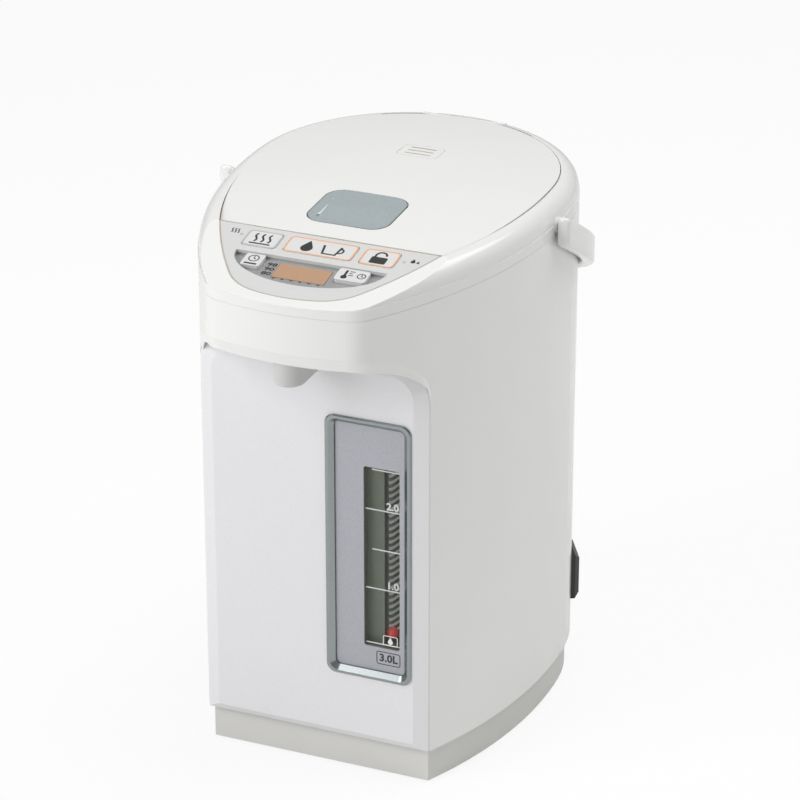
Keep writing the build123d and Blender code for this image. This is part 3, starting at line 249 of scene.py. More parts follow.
# plastic: colour, roughness, grain size, grain depth; flake_paint: colour, metallic, roughness;
# clear: colour, alpha; metal: colour, roughness, grain
finish = {
    "white shell": plastic("white shell", WHITE, 0.16, 0.03, 0.00002, coat=0.3),
    "pearl panel": flake_paint("pearl panel", (0.76, 0.755, 0.775), 0.0, 0.38, sparkle=0.03),
    "spout white": plastic("spout white", (0.56, 0.56, 0.55), 0.30, 0.002, 0.00001),
    "warm grey": plastic("warm grey", (0.66, 0.655, 0.635), 0.42, 0.0008, 0.00003),
    "base plate": plastic("base plate", (0.36, 0.355, 0.35), 0.55, 0.0008, 0.00004),
    "foot rubber": plastic("foot rubber", (0.03, 0.03, 0.03), 0.75, 0.0006, 0.00004, drift=0.2),
    "pin steel": metal("pin steel", (0.55, 0.55, 0.56), 0.30, ALONG_PIN),
    "gauge chrome": metal("gauge chrome", (0.31, 0.335, 0.34), 0.24),
    "plate silver": flake_paint("plate silver", (0.40, 0.41, 0.45), 0.35, 0.42),
    "window glass": clear("window glass", (0.20, 0.22, 0.19), 0.05),
    "dark backing": plastic("dark backing", (0.14, 0.16, 0.12), 0.45, 0.001, 0.00002, drift=0.05),
    "tube glass": clear("tube glass", (0.75, 0.80, 0.78), 0.05),
    # the float's glow is painted light: it makes the ball shine although it is no lamp
    "float red": plastic(
        "float red", (0.80, 0.02, 0.02), 0.25, 0.002, 0.00001, drift=0.06, glow=0.2
    ),
    "control film": plastic("control film", (0.635, 0.64, 0.635), 0.26, 0.0006, 0.000008),
    "display silver": flake_paint("display silver", (0.38, 0.385, 0.39), 0.35, 0.34),
    "lcd face": plastic("lcd face", (0.47, 0.29, 0.185), 0.20, 0.002, 0.000005, drift=0.05),
    "board green": plastic("board green", (0.02, 0.13, 0.05), 0.35, 0.0015, 0.00004, drift=0.15),
    "switch black": plastic("switch black", (0.02, 0.02, 0.02), 0.40, 0.001, 0.00002, drift=0.2),
    "key film": plastic("key film", (0.68, 0.685, 0.68), 0.26, 0.0006, 0.000008),
    "liner grey": plastic("liner grey", (0.50, 0.50, 0.49), 0.38, 0.0008, 0.00003),
    "silicone": plastic("silicone", (0.55, 0.54, 0.52), 0.50, 0.002, 0.00002),
    "lever silver": flake_paint("lever silver", (0.48, 0.545, 0.565), 0.45, 0.34),
    "vessel steel": metal("vessel steel", (0.58, 0.58, 0.59), 0.26, ROUND_VESSEL),
    "heater aluminium": metal("heater aluminium", (0.60, 0.60, 0.62), 0.42),
    "frame grey": plastic("frame grey", (0.34, 0.34, 0.34), 0.50, 0.0008, 0.00004),
    "pump plastic": plastic("pump plastic", (0.62, 0.60, 0.55), 0.40, 0.0008, 0.00002),
    "magnet iron": metal("magnet iron", (0.10, 0.10, 0.11), 0.50),
    "inlet black": plastic("inlet black", (0.015, 0.015, 0.016), 0.38, 0.0008, 0.00003, drift=0.2),
    "contact brass": metal("contact brass", (0.62, 0.43, 0.16), 0.28),
}
print("finishes:", len(finish))

# %% [markdown]
# ## Dressing the parts
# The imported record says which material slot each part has. The finishes above carry the same
# names with spaces, so one loop dresses every part.

# %% Dress the parts
for part in frame["record"]["subparts"]:
    material = finish[part["material_slot"].replace("_", " ")]
    slots = nodes[part["node"]].data.materials
    slots.clear()
    slots.append(material)

# %% [markdown]
# ## Measuring the parts
# The added pieces take their places from the parts themselves. The control panel slopes, so it
# has a frame of its own: X to the right, Y up the slope and Z out of its surface, from the middle
# of its rear edge.


# %% Measuring the parts
def points_of(node):
    """Every vertex of a part."""
    return [vertex.co for vertex in nodes[node].data.vertices]


def box(node, frame_matrix=None, above=None):
    """A part's lowest and highest corner, in a frame. above keeps what is that near its top."""
    into = frame_matrix.inverted() if frame_matrix else Matrix()
    points = [into @ co for co in points_of(node)]
    if above is not None:
        top = max(point.z for point in points)
        points = [point for point in points if point.z > top - above]
    low = Vector([min(point[axis] for point in points) for axis in range(3)])
    high = Vector([max(point[axis] for point in points) for axis in range(3)])
    return low, high


PANEL_SLOPE = math.radians(10)
panel_high = box("control_panel")[1]
PANEL = Matrix.Translation((0, panel_high.y, panel_high.z)) @ Matrix.Rotation(PANEL_SLOPE, 4, "X")
PANEL = PANEL @ Matrix.Translation((0, 0, box("control_panel", PANEL)[1].z))
print("panel's rear edge, mm:", [round(value / MM, 2) for value in PANEL.translation])
FACE_ON = Matrix.Rotation(math.pi / 2, 4, "X")  # X right, Y up and Z towards someone in front


def link(name, mesh, material, body):
    """Put a finished mesh in the scene, riding on a body."""
    piece = bpy.data.objects.new(name.replace(" ", "_"), mesh)
    bpy.context.scene.collection.objects.link(piece)
    mesh.materials.clear()
    mesh.materials.append(material)
    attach(piece, body)
    return piece


# %% [markdown]
# ## Printed marks
# The film on the panel and the scale on the gauge are screen-printed: a thin, even layer of ink.
# Each mark is drawn flat in millimetres, as closed outlines, rings or strips, and given the
# thickness of a heavy ink so that it stands on its surface without flickering.

# %% Printed marks
INK_THICK = 0.06  # all sizes of the printed marks are in millimetres
CORNERS = ((1, 1), (-1, 1), (-1, -1), (1, -1))  # which side and which end, going round to the left


def circle(radius, x=0.0, y=0.0, start=0.0, sweep=360.0, count=28):
    """Points of a circle, or of an arc with both of its ends."""
    steps = count if sweep == 360.0 else count - 1
    turns = [math.radians(start + sweep * k / steps) for k in range(count)]
    return [(x + radius * math.cos(turn), y + radius * math.sin(turn)) for turn in turns]


def rounded(width, height, radius, x=0.0, y=0.0):
    """A rectangle with round corners."""
    points = []
    for corner, (side, end) in enumerate(CORNERS):
        centre = (x + side * (width / 2 - radius), y + end * (height / 2 - radius))
        points += circle(radius, *centre, start=90 * corner, sweep=90, count=6)
    return points


def drop(height, x=0.0, y=0.0):
    """A water drop with its tip up."""
    radius = height * 0.32  # the round part's share of the height
    low = y - height / 2 + radius
    return circle(radius, x, low, start=150, sweep=240, count=20) + [(x, y + height / 2)]


def stroke(points, width):
    """A line of even width, as two edges of equal length."""
    left, right = [], []
    for k, (x, y) in enumerate(points):
        x0, y0 = points[max(k - 1, 0)]
        x1, y1 = points[min(k + 1, len(points) - 1)]
        run = math.hypot(x1 - x0, y1 - y0)
        across = ((y0 - y1) / run * width / 2, (x1 - x0) / run * width / 2)
        left.append((x + across[0], y + across[1]))
        right.append((x - across[0], y - across[1]))
    return "strip", left, right


def ring(outer, inner):
    """A flat ring between two outlines with as many points each."""
    return "ring", outer, inner


def frame_line(width, height, radius, line, x=0.0, y=0.0):
    """The outline of a rounded rectangle, drawn line wide inside its edge."""
    inner = rounded(width - 2 * line, height - 2 * line, max(radius - line, 0.1), x, y)
    return ring(rounded(width, height, radius, x, y), inner)


def wave(height, x, y, swing=0.5):
    """Centre line of a wisp of steam: one full wave, in ten steps."""
    steps = [k / 10 for k in range(11)]
    return [(x + swing * math.sin(2 * math.pi * t), y + (t - 0.5) * height) for t in steps]


def stamp(name, shapes, place, material, body, thick=INK_THICK):
    """Flat shapes in millimetres, laid on the plane of place and given a thickness."""
    work = bmesh.new()
    for shape in shapes:
        if shape[0] in ("ring", "strip"):
            kind, first, second = shape
            outer = [work.verts.new((x * MM, y * MM, 0)) for x, y in first]
            inner = [work.verts.new((x * MM, y * MM, 0)) for x, y in second]
            for k in range(len(outer) - (kind == "strip")):
                after = (k + 1) % len(outer)
                work.faces.new((outer[k], outer[after], inner[after], inner[k]))
        else:
            work.faces.new([work.verts.new((x * MM, y * MM, 0)) for x, y in shape])
    bmesh.ops.recalc_face_normals(work, faces=work.faces)
    for face in work.faces:
        face.normal_update()
        if face.normal.z < 0:
            face.normal_flip()
    grown = bmesh.ops.extrude_face_region(work, geom=list(work.faces))
    raised = [item for item in grown["geom"] if isinstance(item, bmesh.types.BMVert)]
    bmesh.ops.translate(work, verts=raised, vec=(0, 0, thick * MM))
    bmesh.ops.recalc_face_normals(work, faces=work.faces)
    mesh = bpy.data.meshes.new(name)
    work.to_mesh(mesh)
    work.free()
    mesh.transform(place)
    return link(name, mesh, material, body)


def words(
    name, text, size, place, material, body, align="CENTER", bold=0.2, stretch=1.0
):
    """Plain figures, made a mesh and laid on the plane of place. bold widens each stroke."""
    curve = bpy.data.curves.new(name, "FONT")
    curve.body = text
    curve.size = size * MM
    curve.align_x = align
    curve.align_y = "CENTER"
    curve.extrude = INK_THICK * MM / 2
    curve.offset = bold * MM
    curve.resolution_u = 3
    draft = bpy.data.objects.new(name, curve)
    bpy.context.scene.collection.objects.link(draft)
    graph = bpy.context.evaluated_depsgraph_get()
    mesh = bpy.data.meshes.new_from_object(draft.evaluated_get(graph))
    bpy.data.objects.remove(draft)
    widen = Matrix.Diagonal((stretch, 1.0, 1.0, 1.0))
    mesh.transform(place @ Matrix.Translation((0, 0, INK_THICK * MM / 2)) @ widen)
    return link(name, mesh, material, body)


def ink(name, colour, roughness=0.35):
    """Screen ink: a thin plastic film with hardly any grain."""
    return plastic(name, colour, roughness, 0.0006, 0.000004, drift=0.06)


black_ink = ink("black ink", (0.03, 0.03, 0.032))
orange_ink = ink("orange ink", (0.83, 0.36, 0.13))
grey_ink = ink("grey ink", (0.42, 0.42, 0.43))
white_ink = ink("white ink", (0.80, 0.81, 0.80))
print("inks:", [colour.name for colour in (black_ink, orange_ink, grey_ink, white_ink)])

# %% [markdown]
# ## Keys
# Each key is a cap under the printed film. The three on the panel have an outline, orange where
# the key runs the pump and grey where it boils, and the two in the display's tray have none. The
# maker's words are replaced with plain pictures: a drop and a cup pour, an open padlock unlocks,
# steam boils, a clock times and a thermometer sets the keeping temperature.

# %% Keys
KEY_LINE = 0.8
KEY_MARGIN = 0.15  # from the cap's edge to its outline
KEY_CORNER = 2.8


def cup(width, height, x, y, line):
    """A cup seen from the side: an open bowl with a handle on its right."""
    half = width / 2
    foot = half * 0.72
    low, high = y - height / 2, y + height / 2
    bowl = [(x - half, high), (x - foot, low), (x + foot, low), (x + half, high)]
    grip = circle(height * 0.28, x + half * 0.95, y + height * 0.05, start=80, sweep=-175, count=12)
    return [stroke(bowl, line), stroke(grip, line * 0.8)]


def clock(radius, x, y, line=0.6):
    """A clock face with its two hands."""
    hands = stroke([(x, y + radius * 0.6), (x, y), (x + radius * 0.45, y - radius * 0.2)], line)
    return [ring(circle(radius, x, y), circle(radius - line, x, y)), hands]


# each picture's shapes, from the middle of its cap
key_art = {
    "boil_key": [stroke(wave(8.5, x, 0.9, 0.9), 1.2) for x in (-4.4, 0.0, 4.4)]
    + [stroke([(-6.6, -5.2), (6.6, -5.2)], 1.2)],
    "dispense_key": [drop(11.5, -8.5, 0.2)] + cup(11.0, 8.6, 6.5, -0.6, 1.5),
    "unlock_key": [
        rounded(10.0, 6.8, 1.0, 0.0, -2.6),
        stroke([(-3.2, 0.4)] + circle(3.2, 0.0, 2.6, start=180, sweep=-180, count=14), 1.3),
    ],
    "timer_key": clock(3.4, 0.0, 1.4, 0.7) + [rounded(8.0, 1.4, 0.4, 0.0, -4.2)],
    "temperature_key": clock(2.7, 5.6, 0.4)
    + [
        circle(1.9, -4.4, -2.6),
        stroke([(-4.4, -1.5), (-4.4, 4.4)], 1.5),
        stroke([(-2.4, 3.6), (0.6, 3.6)], 0.7),
        stroke([(-2.4, 1.6), (-0.4, 1.6)], 0.7),
        stroke([(-2.4, -0.4), (0.6, -0.4)], 0.7),
    ],
}
for key, art in key_art.items():
    low, high = box(key, PANEL, above=0.3 * MM)
    centre = (low + high) / 2
    width, height = (high.x - low.x) / MM, (high.y - low.y) / MM
    on_cap = PANEL @ Matrix.Translation((centre.x, centre.y, high.z))
    body = key.replace("_key", "_button")
    stamp(key + " picture", art, on_cap, black_ink, body)
    if high.z > 0:  # a cap that stands over the film has an outline
        line_ink = grey_ink if key == "boil_key" else orange_ink
        outline = frame_line(width - 2 * KEY_MARGIN, height - 2 * KEY_MARGIN, KEY_CORNER, KEY_LINE)
        stamp(key + " outline", [outline], on_cap, line_ink, body)
    print(key, "cap in mm:", round(width, 1), "x", round(height, 1))

# %% [markdown]
# ## Display
# The display sits in a silver tray: three temperatures beside the glass, and a row of short marks
# under it that say what the arrow on the glass points at.

# %% Display
FIGURE_TOP = 2.6  # from the glass's rear edge to the middle of the first line
FIGURE_PITCH = 4.7
FIGURE_GAP = 1.0  # between the figures and the glass
FIGURE_SIZE = 4.6
lcd_low, lcd_high = box("lcd_panel", PANEL, above=0.3 * MM)
floor_z = lcd_high.z - 0.2 * MM  # the tray's floor, a little under the glass
for line, text in enumerate(("98", "90", "80")):
    y = lcd_high.y - (FIGURE_TOP + FIGURE_PITCH * line) * MM
    beside = PANEL @ Matrix.Translation((lcd_low.x - FIGURE_GAP * MM, y, floor_z))
    words(
        "degrees " + text, text, FIGURE_SIZE, beside, black_ink, "pot",
        align="RIGHT", bold=0.12, stretch=1.35,
    )
lamp_film = ink("lamp film", (0.50, 0.50, 0.50), 0.2)
LAMP_RADIUS = 1.1
lamp_at = {"slow pour lamp": (52.0, -12.8), "keep warm lamp": (-51.5, -11.0)}
for name, (x, y) in lamp_at.items():
    stamp(name, [circle(LAMP_RADIUS, x, y)], PANEL, lamp_film, "pot", thick=0.15)
beside_lamps = [drop(4.4, 57.0, -10.5), drop(2.6, 60.2, -11.2)]
beside_lamps += [stroke(wave(4.6, x, -8.2), 0.7) for x in (-58.5, -56.5, -54.5)]
stamp("lamp pictures", beside_lamps, PANEL, black_ink, "pot")
print("display glass in mm:", [round(value / MM, 1) for value in lcd_high - lcd_low])


# %% [markdown]
# ## Rows by Geometry Nodes
# A scale is the same mark again and again. One node tree makes any such row: a line of points, a
# small block on each, and inputs for the number, the pitch and the block's size. Another bends
# its block into an S first, for the slanting stripes that make the water line easy to see through
# a round tube.


# %% Rows by Geometry Nodes
def row_tree(name, bent):
    """The node tree of a row of blocks, straight or bent into an S."""
    tree = bpy.data.node_groups.new(name, "GeometryNodeTree")
    tree.interface.new_socket("Geometry", in_out="OUTPUT", socket_type="NodeSocketGeometry")
    lengths = ("Step X", "Step Z", "Length", "Depth", "Height", "Rise")
    kinds = {"Count": "Int", **{label: "Float" for label in lengths}, "Material": "Material"}
    for label, kind in kinds.items():
        tree.interface.new_socket(label, in_out="INPUT", socket_type="NodeSocket" + kind)
    given = tree.nodes.new("NodeGroupInput")
    value = {label: Wire(tree, given.outputs[label]) for label in kinds}
    wire = Wire(tree)
    step = wire.add("ShaderNodeCombineXYZ", None, {0: value["Step X"], 2: value["Step Z"]})
    along = {"Count": value["Count"], "Offset": step}
    points = wire.add("GeometryNodeMeshLine", {"mode": "OFFSET"}, along)
    sides = {0: value["Length"], 1: value["Depth"], 2: value["Height"]}
    size = wire.add("ShaderNodeCombineXYZ", None, sides)
    cuts = 17 if bent else 2  # vertices along the block, enough for a smooth bend
    block = wire.add("GeometryNodeMeshCube", None, {"Size": size, "Vertices X": cuts})
    if bent:
        across = wire.add("GeometryNodeInputPosition").axis("X")
        half = value["Length"] * 0.5
        span = {0: across, 1: half * -1.0, 2: half, 3: value["Rise"] * -0.5, 4: value["Rise"] * 0.5}
        lift = wire.add("ShaderNodeMapRange", {"interpolation_type": "SMOOTHSTEP"}, span)
        offset = wire.add("ShaderNodeCombineXYZ", None, {2: lift})
        block = wire.add("GeometryNodeSetPosition", None, {"Geometry": block, "Offset": offset})
    marks = wire.add("GeometryNodeInstanceOnPoints", None, {"Points": points, "Instance": block})
    solid = wire.add("GeometryNodeRealizeInstances", None, {"Geometry": marks})
    coat = {"Geometry": solid, "Material": value["Material"]}
    painted = wire.add("GeometryNodeSetMaterial", None, coat)
    result = tree.nodes.new("NodeGroupOutput")
    tree.links.new(painted.socket, result.inputs["Geometry"])
    return tree


straight_row = row_tree("row of marks", bent=False)
bent_row = row_tree("row of S stripes", bent=True)


def row(name, tree, place, material, body, slot_name, **sizes):
    """Bake one row of marks from its tree, with sizes in millimetres, and put it in its place."""
    draft = bpy.data.objects.new(name, bpy.data.meshes.new(name))
    bpy.context.scene.collection.objects.link(draft)
    modifier = draft.modifiers.new("row", "NODES")
    modifier.node_group = tree
    inputs = [item for item in tree.interface.items_tree if item.in_out == "INPUT"]
    known = {item.name: item.identifier for item in inputs}
    for label, size in sizes.items():
        label = label.replace("_", " ")
        modifier[known[label]] = size if label == "Count" else size * MM
    modifier[known["Material"]] = material
    graph = bpy.context.evaluated_depsgraph_get()
    mesh = bpy.data.meshes.new_from_object(draft.evaluated_get(graph))
    bpy.data.objects.remove(draft)
    mesh.transform(place)
    print(name, "row:", len(mesh.vertices), "vertices")
    return link(name, mesh, material, body)


flat_row = Matrix.Rotation(-math.pi / 2, 4, "X")  # turns a row's upright blocks down onto the panel
MARK_IN, MARK_AHEAD = 2.0 * MM, 1.1 * MM  # from the glass's left edge and from its front edge
first_mark = Matrix.Translation((lcd_low.x + MARK_IN, lcd_low.y - MARK_AHEAD, floor_z))
under_lcd = PANEL @ first_mark @ flat_row
row(
    "display marks", straight_row, under_lcd, black_ink, "pot", "display_silver",
    Count=6, Step_X=5.6, Step_Z=0.0, Length=1.8, Depth=0.8, Height=0.1,
)

# %% [markdown]
# ## Water gauge
# Behind the glass a clear tube stands beside a dark scale. Long white lines mark each litre and
# short ones the halves, at the pitch that the vessel's bore gives. Water in the round tube bends
# the slanting stripes behind it, so the level shows. Two small boxes carry a drop and the pot's
# capacity.

# %% Water gauge
glass_low, glass_high = box("gauge_window")
tube_low, tube_high = box("gauge_tube")
plate_low = box("gauge_plate")[0]
SCALE_GAP = 0.25 * MM  # behind the glass
SCALE_INSET = 0.5 * MM  # from the glass's sides
LOWEST = 1.7 * MM  # from the glass's lower edge to the lowest line
FIRST_LITRE = 37.2 * MM  # from the lowest line to the first litre's
LITRE = 52.8 * MM
HALF_SHORTER = 4.2 * MM
FIGURE_RISE = 3.3 * MM  # from a line to the middle of its figures
FIGURE_INSET = 0.4 * MM
scale_y = glass_high.y + SCALE_GAP
scale_left = glass_low.x + SCALE_INSET
scale_right = glass_high.x - SCALE_INSET
first_z = glass_low.z + LOWEST
one_litre = first_z + FIRST_LITRE


def scale_line(name, left, z):
    """A white line from left to the glass's right edge."""
    place = Matrix.Translation(((left + scale_right) / 2, scale_y, z))
    row(
        name, straight_row, place, white_ink, "pot", "dark_backing",
        Count=1, Step_X=0.0, Step_Z=1.0, Length=(scale_right - left) / MM, Depth=0.12, Height=0.8,
    )


scale_line("lowest line", scale_left, first_z)
for step in range(4):
    z = one_litre + step * LITRE / 2
    if step % 2:
        scale_line(f"half line {step}", scale_left + HALF_SHORTER, z)
    else:
        scale_line(f"litre line {step}", scale_left, z)
        figure_place = (scale_right - FIGURE_INSET, scale_y, z + FIGURE_RISE)
        over_line = Matrix.Translation(figure_place) @ FACE_ON
        litres = f"{1 + step / 2}"
        words(
            f"litres {step}", litres, 6.6, over_line, white_ink, "pot",
            align="RIGHT",
        )

STRIPE_WHITE = (0.80, 0.83, 0.76)
# the stripes' glow is painted light, so they show bright through the tube
glowing_stripe_ink = plastic("stripe white with painted glow", STRIPE_WHITE, 0.4, 0.001, 0.000004, drift=0.06, glow=0.22)
STRIPE_PITCH = 4.4
STRIPE_SHIFT = 0.3 * MM  # to the right of the tube and behind it
stripe_left = tube_low.x + STRIPE_SHIFT
stripe_right = tube_high.x + STRIPE_SHIFT
stripe_middle = (stripe_left + stripe_right) / 2
stripe_count = int((glass_high.z - glass_low.z) / MM / STRIPE_PITCH) - 1
lowest_stripe = glass_low.z + STRIPE_PITCH * MM
stripes_at = Matrix.Translation((stripe_middle, tube_high.y + STRIPE_SHIFT, lowest_stripe))
row(
    "tube stripes", bent_row, stripes_at, glowing_stripe_ink, "pot", "dark_backing",
    Count=stripe_count, Step_X=0.0, Step_Z=STRIPE_PITCH, Length=(stripe_right - stripe_left) / MM,
    Depth=0.1, Height=2.0, Rise=6.0,
)

# the small boxes: right of the glass's left edge, and over or under the lowest line
DROP_BOX = (17.0 * MM, 4.2 * MM)
CAPACITY_BOX = (15.6 * MM, -8.6 * MM)
drop_place = (glass_low.x + DROP_BOX[0], glass_low.y, first_z + DROP_BOX[1])
drop_at = Matrix.Translation(drop_place) @ FACE_ON
stamp("drop box", [frame_line(9.6, 6.6, 1.0, 0.5)], drop_at, white_ink, "pot")
stamp("drop mark", [drop(5.0)], drop_at, white_ink, "pot")
capacity_place = (glass_low.x + CAPACITY_BOX[0], plate_low.y, first_z + CAPACITY_BOX[1])
capacity_at = Matrix.Translation(capacity_place) @ FACE_ON
capacity_line = frame_line(15.6, 9.0, 1.6, 0.55)
stamp("capacity box", [capacity_line], capacity_at, black_ink, "pot")
words("capacity", "3.0L", 7.0, capacity_at, black_ink, "pot", bold=0.22)

# %% [markdown]
# ## Lid seam
# A dark brown band fills the gap between the lid and the rim; its colour is painted shade of the
# gap. It follows the lid's own outline: the convex hull of the lid's lower edge, seen from above,
# pushed out by half the gap. A thin pale band closes the parting line between the casing and the
# rim, a little inside the casing's edge.

# %% Lid seam
GAP = 0.5 * MM  # between the lid and the rim
SHADE_BAND_WIDTH = 0.4 * MM
SHADE_BAND_LOW = 4.0 * MM  # under the rim's top
SHADE_BAND_HIGH = 0.2 * MM
# painted shade: a dark brown band that stands in for the shade in the gap between the lid and the
# rim
painted_gap_shade = plastic("packing rubber", (0.15, 0.10, 0.065), 0.55, 0.0008, 0.00001, drift=0.1)
lid_bottom = box("lid_shell")[0].z
lower_edge = [co.xy for co in points_of("lid_shell") if co.z < lid_bottom + 0.5 * MM]


def pushed_out(outline, distance):
    """A convex anticlockwise outline, moved outwards along its corner normals."""
    moved = []
    for k, point in enumerate(outline):
        before = (point - outline[k - 1]).normalized()
        after = (outline[(k + 1) % len(outline)] - point).normalized()
        along = (before + after).normalized()
        moved.append(point + Vector((along.y, -along.x)) * distance)
    return moved


def hull_of(points):
    """The convex outline round flat points, running anticlockwise."""
    outline = [points[k] for k in convex_hull_2d(points)]
    area = sum(a.x * b.y - b.x * a.y for a, b in zip(outline, outline[1:] + outline[:1]))
    return outline if area > 0 else outline[::-1]


def band(name, outline, width, low, high, material, body):
    """An upright closed band along an anticlockwise outline in plan."""
    inner, outer = pushed_out(outline, -width / 2), pushed_out(outline, width / 2)
    work = bmesh.new()
    rings = []
    for points, z in ((inner, low), (inner, high), (outer, high), (outer, low)):
        rings.append([work.verts.new((point.x, point.y, z)) for point in points])
    for k in range(len(outline)):
        after = (k + 1) % len(outline)
        for one, two in zip(rings, rings[1:] + rings[:1]):
            work.faces.new((one[k], one[after], two[after], two[k]))
    bmesh.ops.recalc_face_normals(work, faces=work.faces)
    mesh = bpy.data.meshes.new(name)
    work.to_mesh(mesh)
    work.free()
    return link(name, mesh, material, body)


seam = pushed_out(hull_of(lower_edge), GAP / 2)
rim_top = box("top_frame")[1].z
seam_low, seam_high = rim_top - SHADE_BAND_LOW, rim_top - SHADE_BAND_HIGH
band("lid packing", seam, SHADE_BAND_WIDTH, seam_low, seam_high, painted_gap_shade, "pot")

casing_top = box("casing")[1].z
casing_edge = [co.xy for co in points_of("casing") if co.z > casing_top - 0.1 * MM]
PARTING_INSET = 1.0 * MM  # from the casing's face to the middle of the packing
PARTING_WIDTH = 1.6 * MM
PARTING = (0.02 * MM, 0.28 * MM)  # the packing's underside and top, over the casing
body_line = pushed_out(hull_of(casing_edge), -PARTING_INSET)
parting_low, parting_high = casing_top + PARTING[0], casing_top + PARTING[1]
shell = finish["white shell"]
band("body packing", body_line, PARTING_WIDTH, parting_low, parting_high, shell, "pot")
print("points round the lid and the casing:", len(seam), len(body_line))

# %% [markdown]
# ## Film edge and steam slots
# The film on the control panel ends in a fine beige line, where its cut edge shows. In each of the
# three steam slots in the lid a thin beige sheet is painted shade: it stands for the dim, warm
# light that falls into the slot and comes back off its inner wall.

# %% Film edge and steam slots
beige_edge_ink_and_slot_shade = ink("beige edge ink and slot shade", (0.44, 0.37, 0.28))
film_points = [PANEL.inverted() @ co for co in points_of("control_panel")]
film_edge = hull_of([point.xy / MM for point in film_points if point.z > -0.1 * MM])
FILM_LINE = (0.2, 0.8)  # the line's two sides, inside the film's edge
edge_line = ring(pushed_out(film_edge, -FILM_LINE[0]), pushed_out(film_edge, -FILM_LINE[1]))
stamp("film edge", [edge_line], PANEL, beige_edge_ink_and_slot_shade, "pot", thick=0.04)

SLOT = (16.8, 1.2, 0.58)  # length, width and corner radius of a slot
SLOT_PITCH = 5.1
SLOT_DEEP = 0.75 * MM  # from the cover's top to the underside of a slot's floor
vent_low, vent_high = box("steam_cover")
vent_middle = (vent_low + vent_high) / 2
vent_at = Matrix.Translation((vent_middle.x, vent_middle.y, vent_high.z - SLOT_DEEP))
# painted shade: a beige sheet sunk in each slot
slot_shade_sheets = [rounded(*SLOT, y=SLOT_PITCH * step) for step in (-1, 0, 1)]
stamp("steam slot shade", slot_shade_sheets, vent_at, beige_edge_ink_and_slot_shade, "lid", thick=0.5)
print("film edge points:", len(film_edge), "slots:", len(slot_shade_sheets))

# %% [markdown]
# ## Finger dish
# The dish in a moulded lever has sloped side walls, so it leaves its mould easily. The part's own
# walls stand upright, so a small wedge with four corners adds the slope of the left one, which
# turns towards the light. Its near-white colour and slight glow are a painted highlight, and it
# rides on the lever.

# %% Finger dish
# painted highlight: a near-white silver that glows a little, on the wall that faces the light
painted_highlight_silver = plastic("bright silver", (0.86, 0.88, 0.88), 0.15, 0.001, 0.000004, glow=0.15)
DISH_HALF = 20 * MM  # the dish lies within this of the middle
NEAR = 0.05 * MM
lever_bottom = box("latch_lever")[0].z
lever_points = points_of("latch_lever")
dish = [co for co in lever_points if abs(co.x) < DISH_HALF and co.z > lever_bottom + MM]
dish_left = min(point.x for point in dish)
side = [point for point in dish if point.x < dish_left + NEAR]
bottom = min(side, key=lambda point: point.z)
top = max((point for point in side if point.y < bottom.y + NEAR), key=lambda point: point.z)
far = max(side, key=lambda point: point.y)
for corner in (bottom, top, far):
    print("dish corner in mm:", [round(value / MM, 2) for value in corner])
inwards = Vector((0.03 * MM, 0, 0.02 * MM))  # just clear of the dish's own faces
WALL_REACH = 1.7 * MM  # how far the sloped wall reaches into the dish
foot = bottom + Vector((WALL_REACH, 0, 0))
work = bmesh.new()
tips = [work.verts.new(point + inwards) for point in (bottom, top, foot, far)]
for one, two, three in ((0, 2, 1), (0, 1, 3), (0, 3, 2), (1, 2, 3)):
    work.faces.new((tips[one], tips[two], tips[three]))
bmesh.ops.recalc_face_normals(work, faces=work.faces)
wedge = bpy.data.meshes.new("dish wall")
work.to_mesh(wedge)
work.free()
link("dish wall", wedge, painted_highlight_silver, "lever")

# %% [markdown]
# ## Handle
# The bail is one moulding with every edge rounded, so it sits well in the hand. Its centre line
# follows the body's outline at an even distance and falls backwards at a steady slope; both ends
# are cut upright, a little in front of the pivots. Each station along that line carries a rounded
# cross-section, lower at the very ends.

# %% Handle
HANDLE_EDGE = 2.8 * MM  # radius along every edge
HANDLE_END = 4.0 * MM  # radius of the corners at both ends
HANDLE_FALL = math.radians(30)
HANDLE_STATIONS = 120
bail_low, bail_high = box("handle")
thick_half = 4.0 * MM
tall_half = 8.5 * MM / math.cos(HANDLE_FALL)  # upright, so taller than square to the slope
end_y = bail_low.y
rear_top = max(co.z for co in points_of("handle") if co.y > bail_high.y - 0.5 * MM)
bail_line = pushed_out(hull_of([co.xy for co in points_of("handle")]), -thick_half)
middle = [point for point in bail_line if point.y > end_y + 5 * MM]
middle.sort(key=lambda point: math.atan2(point.x, point.y - end_y))


def even(points, count):
    """Points at equal steps along a polyline."""
    lengths = [0.0]
    for one, two in zip(points, points[1:]):
        lengths.append(lengths[-1] + (two - one).length)
    result = []
    k = 0
    for step in range(count):
        want = lengths[-1] * step / (count - 1)
        while k < len(points) - 2 and lengths[k + 1] < want:
            k += 1
        part = (want - lengths[k]) / max(lengths[k + 1] - lengths[k], 1e-9)
        result.append(points[k].lerp(points[k + 1], part))
    return result


END_ANGLES = (0, 12, 25, 40, 55, 72, 90)  # degrees round the corner of each end
turn_steps = [math.radians(angle) for angle in END_ANGLES]
ahead = [end_y + HANDLE_END * (1 - math.cos(angle)) for angle in turn_steps]
left_end = [Vector((middle[0].x, y)) for y in ahead]
right_end = [Vector((middle[-1].x, y)) for y in reversed(ahead)]
between = even([left_end[-1]] + middle + [right_end[0]], HANDLE_STATIONS)[1:-1]
stations = left_end + between + right_end


def corner_loss(distance, radius):
    """How much a round corner takes off, at a distance from the end."""
    inside = max(radius - distance, 0.0)
    return radius - math.sqrt(max(radius**2 - inside**2, 0.0))


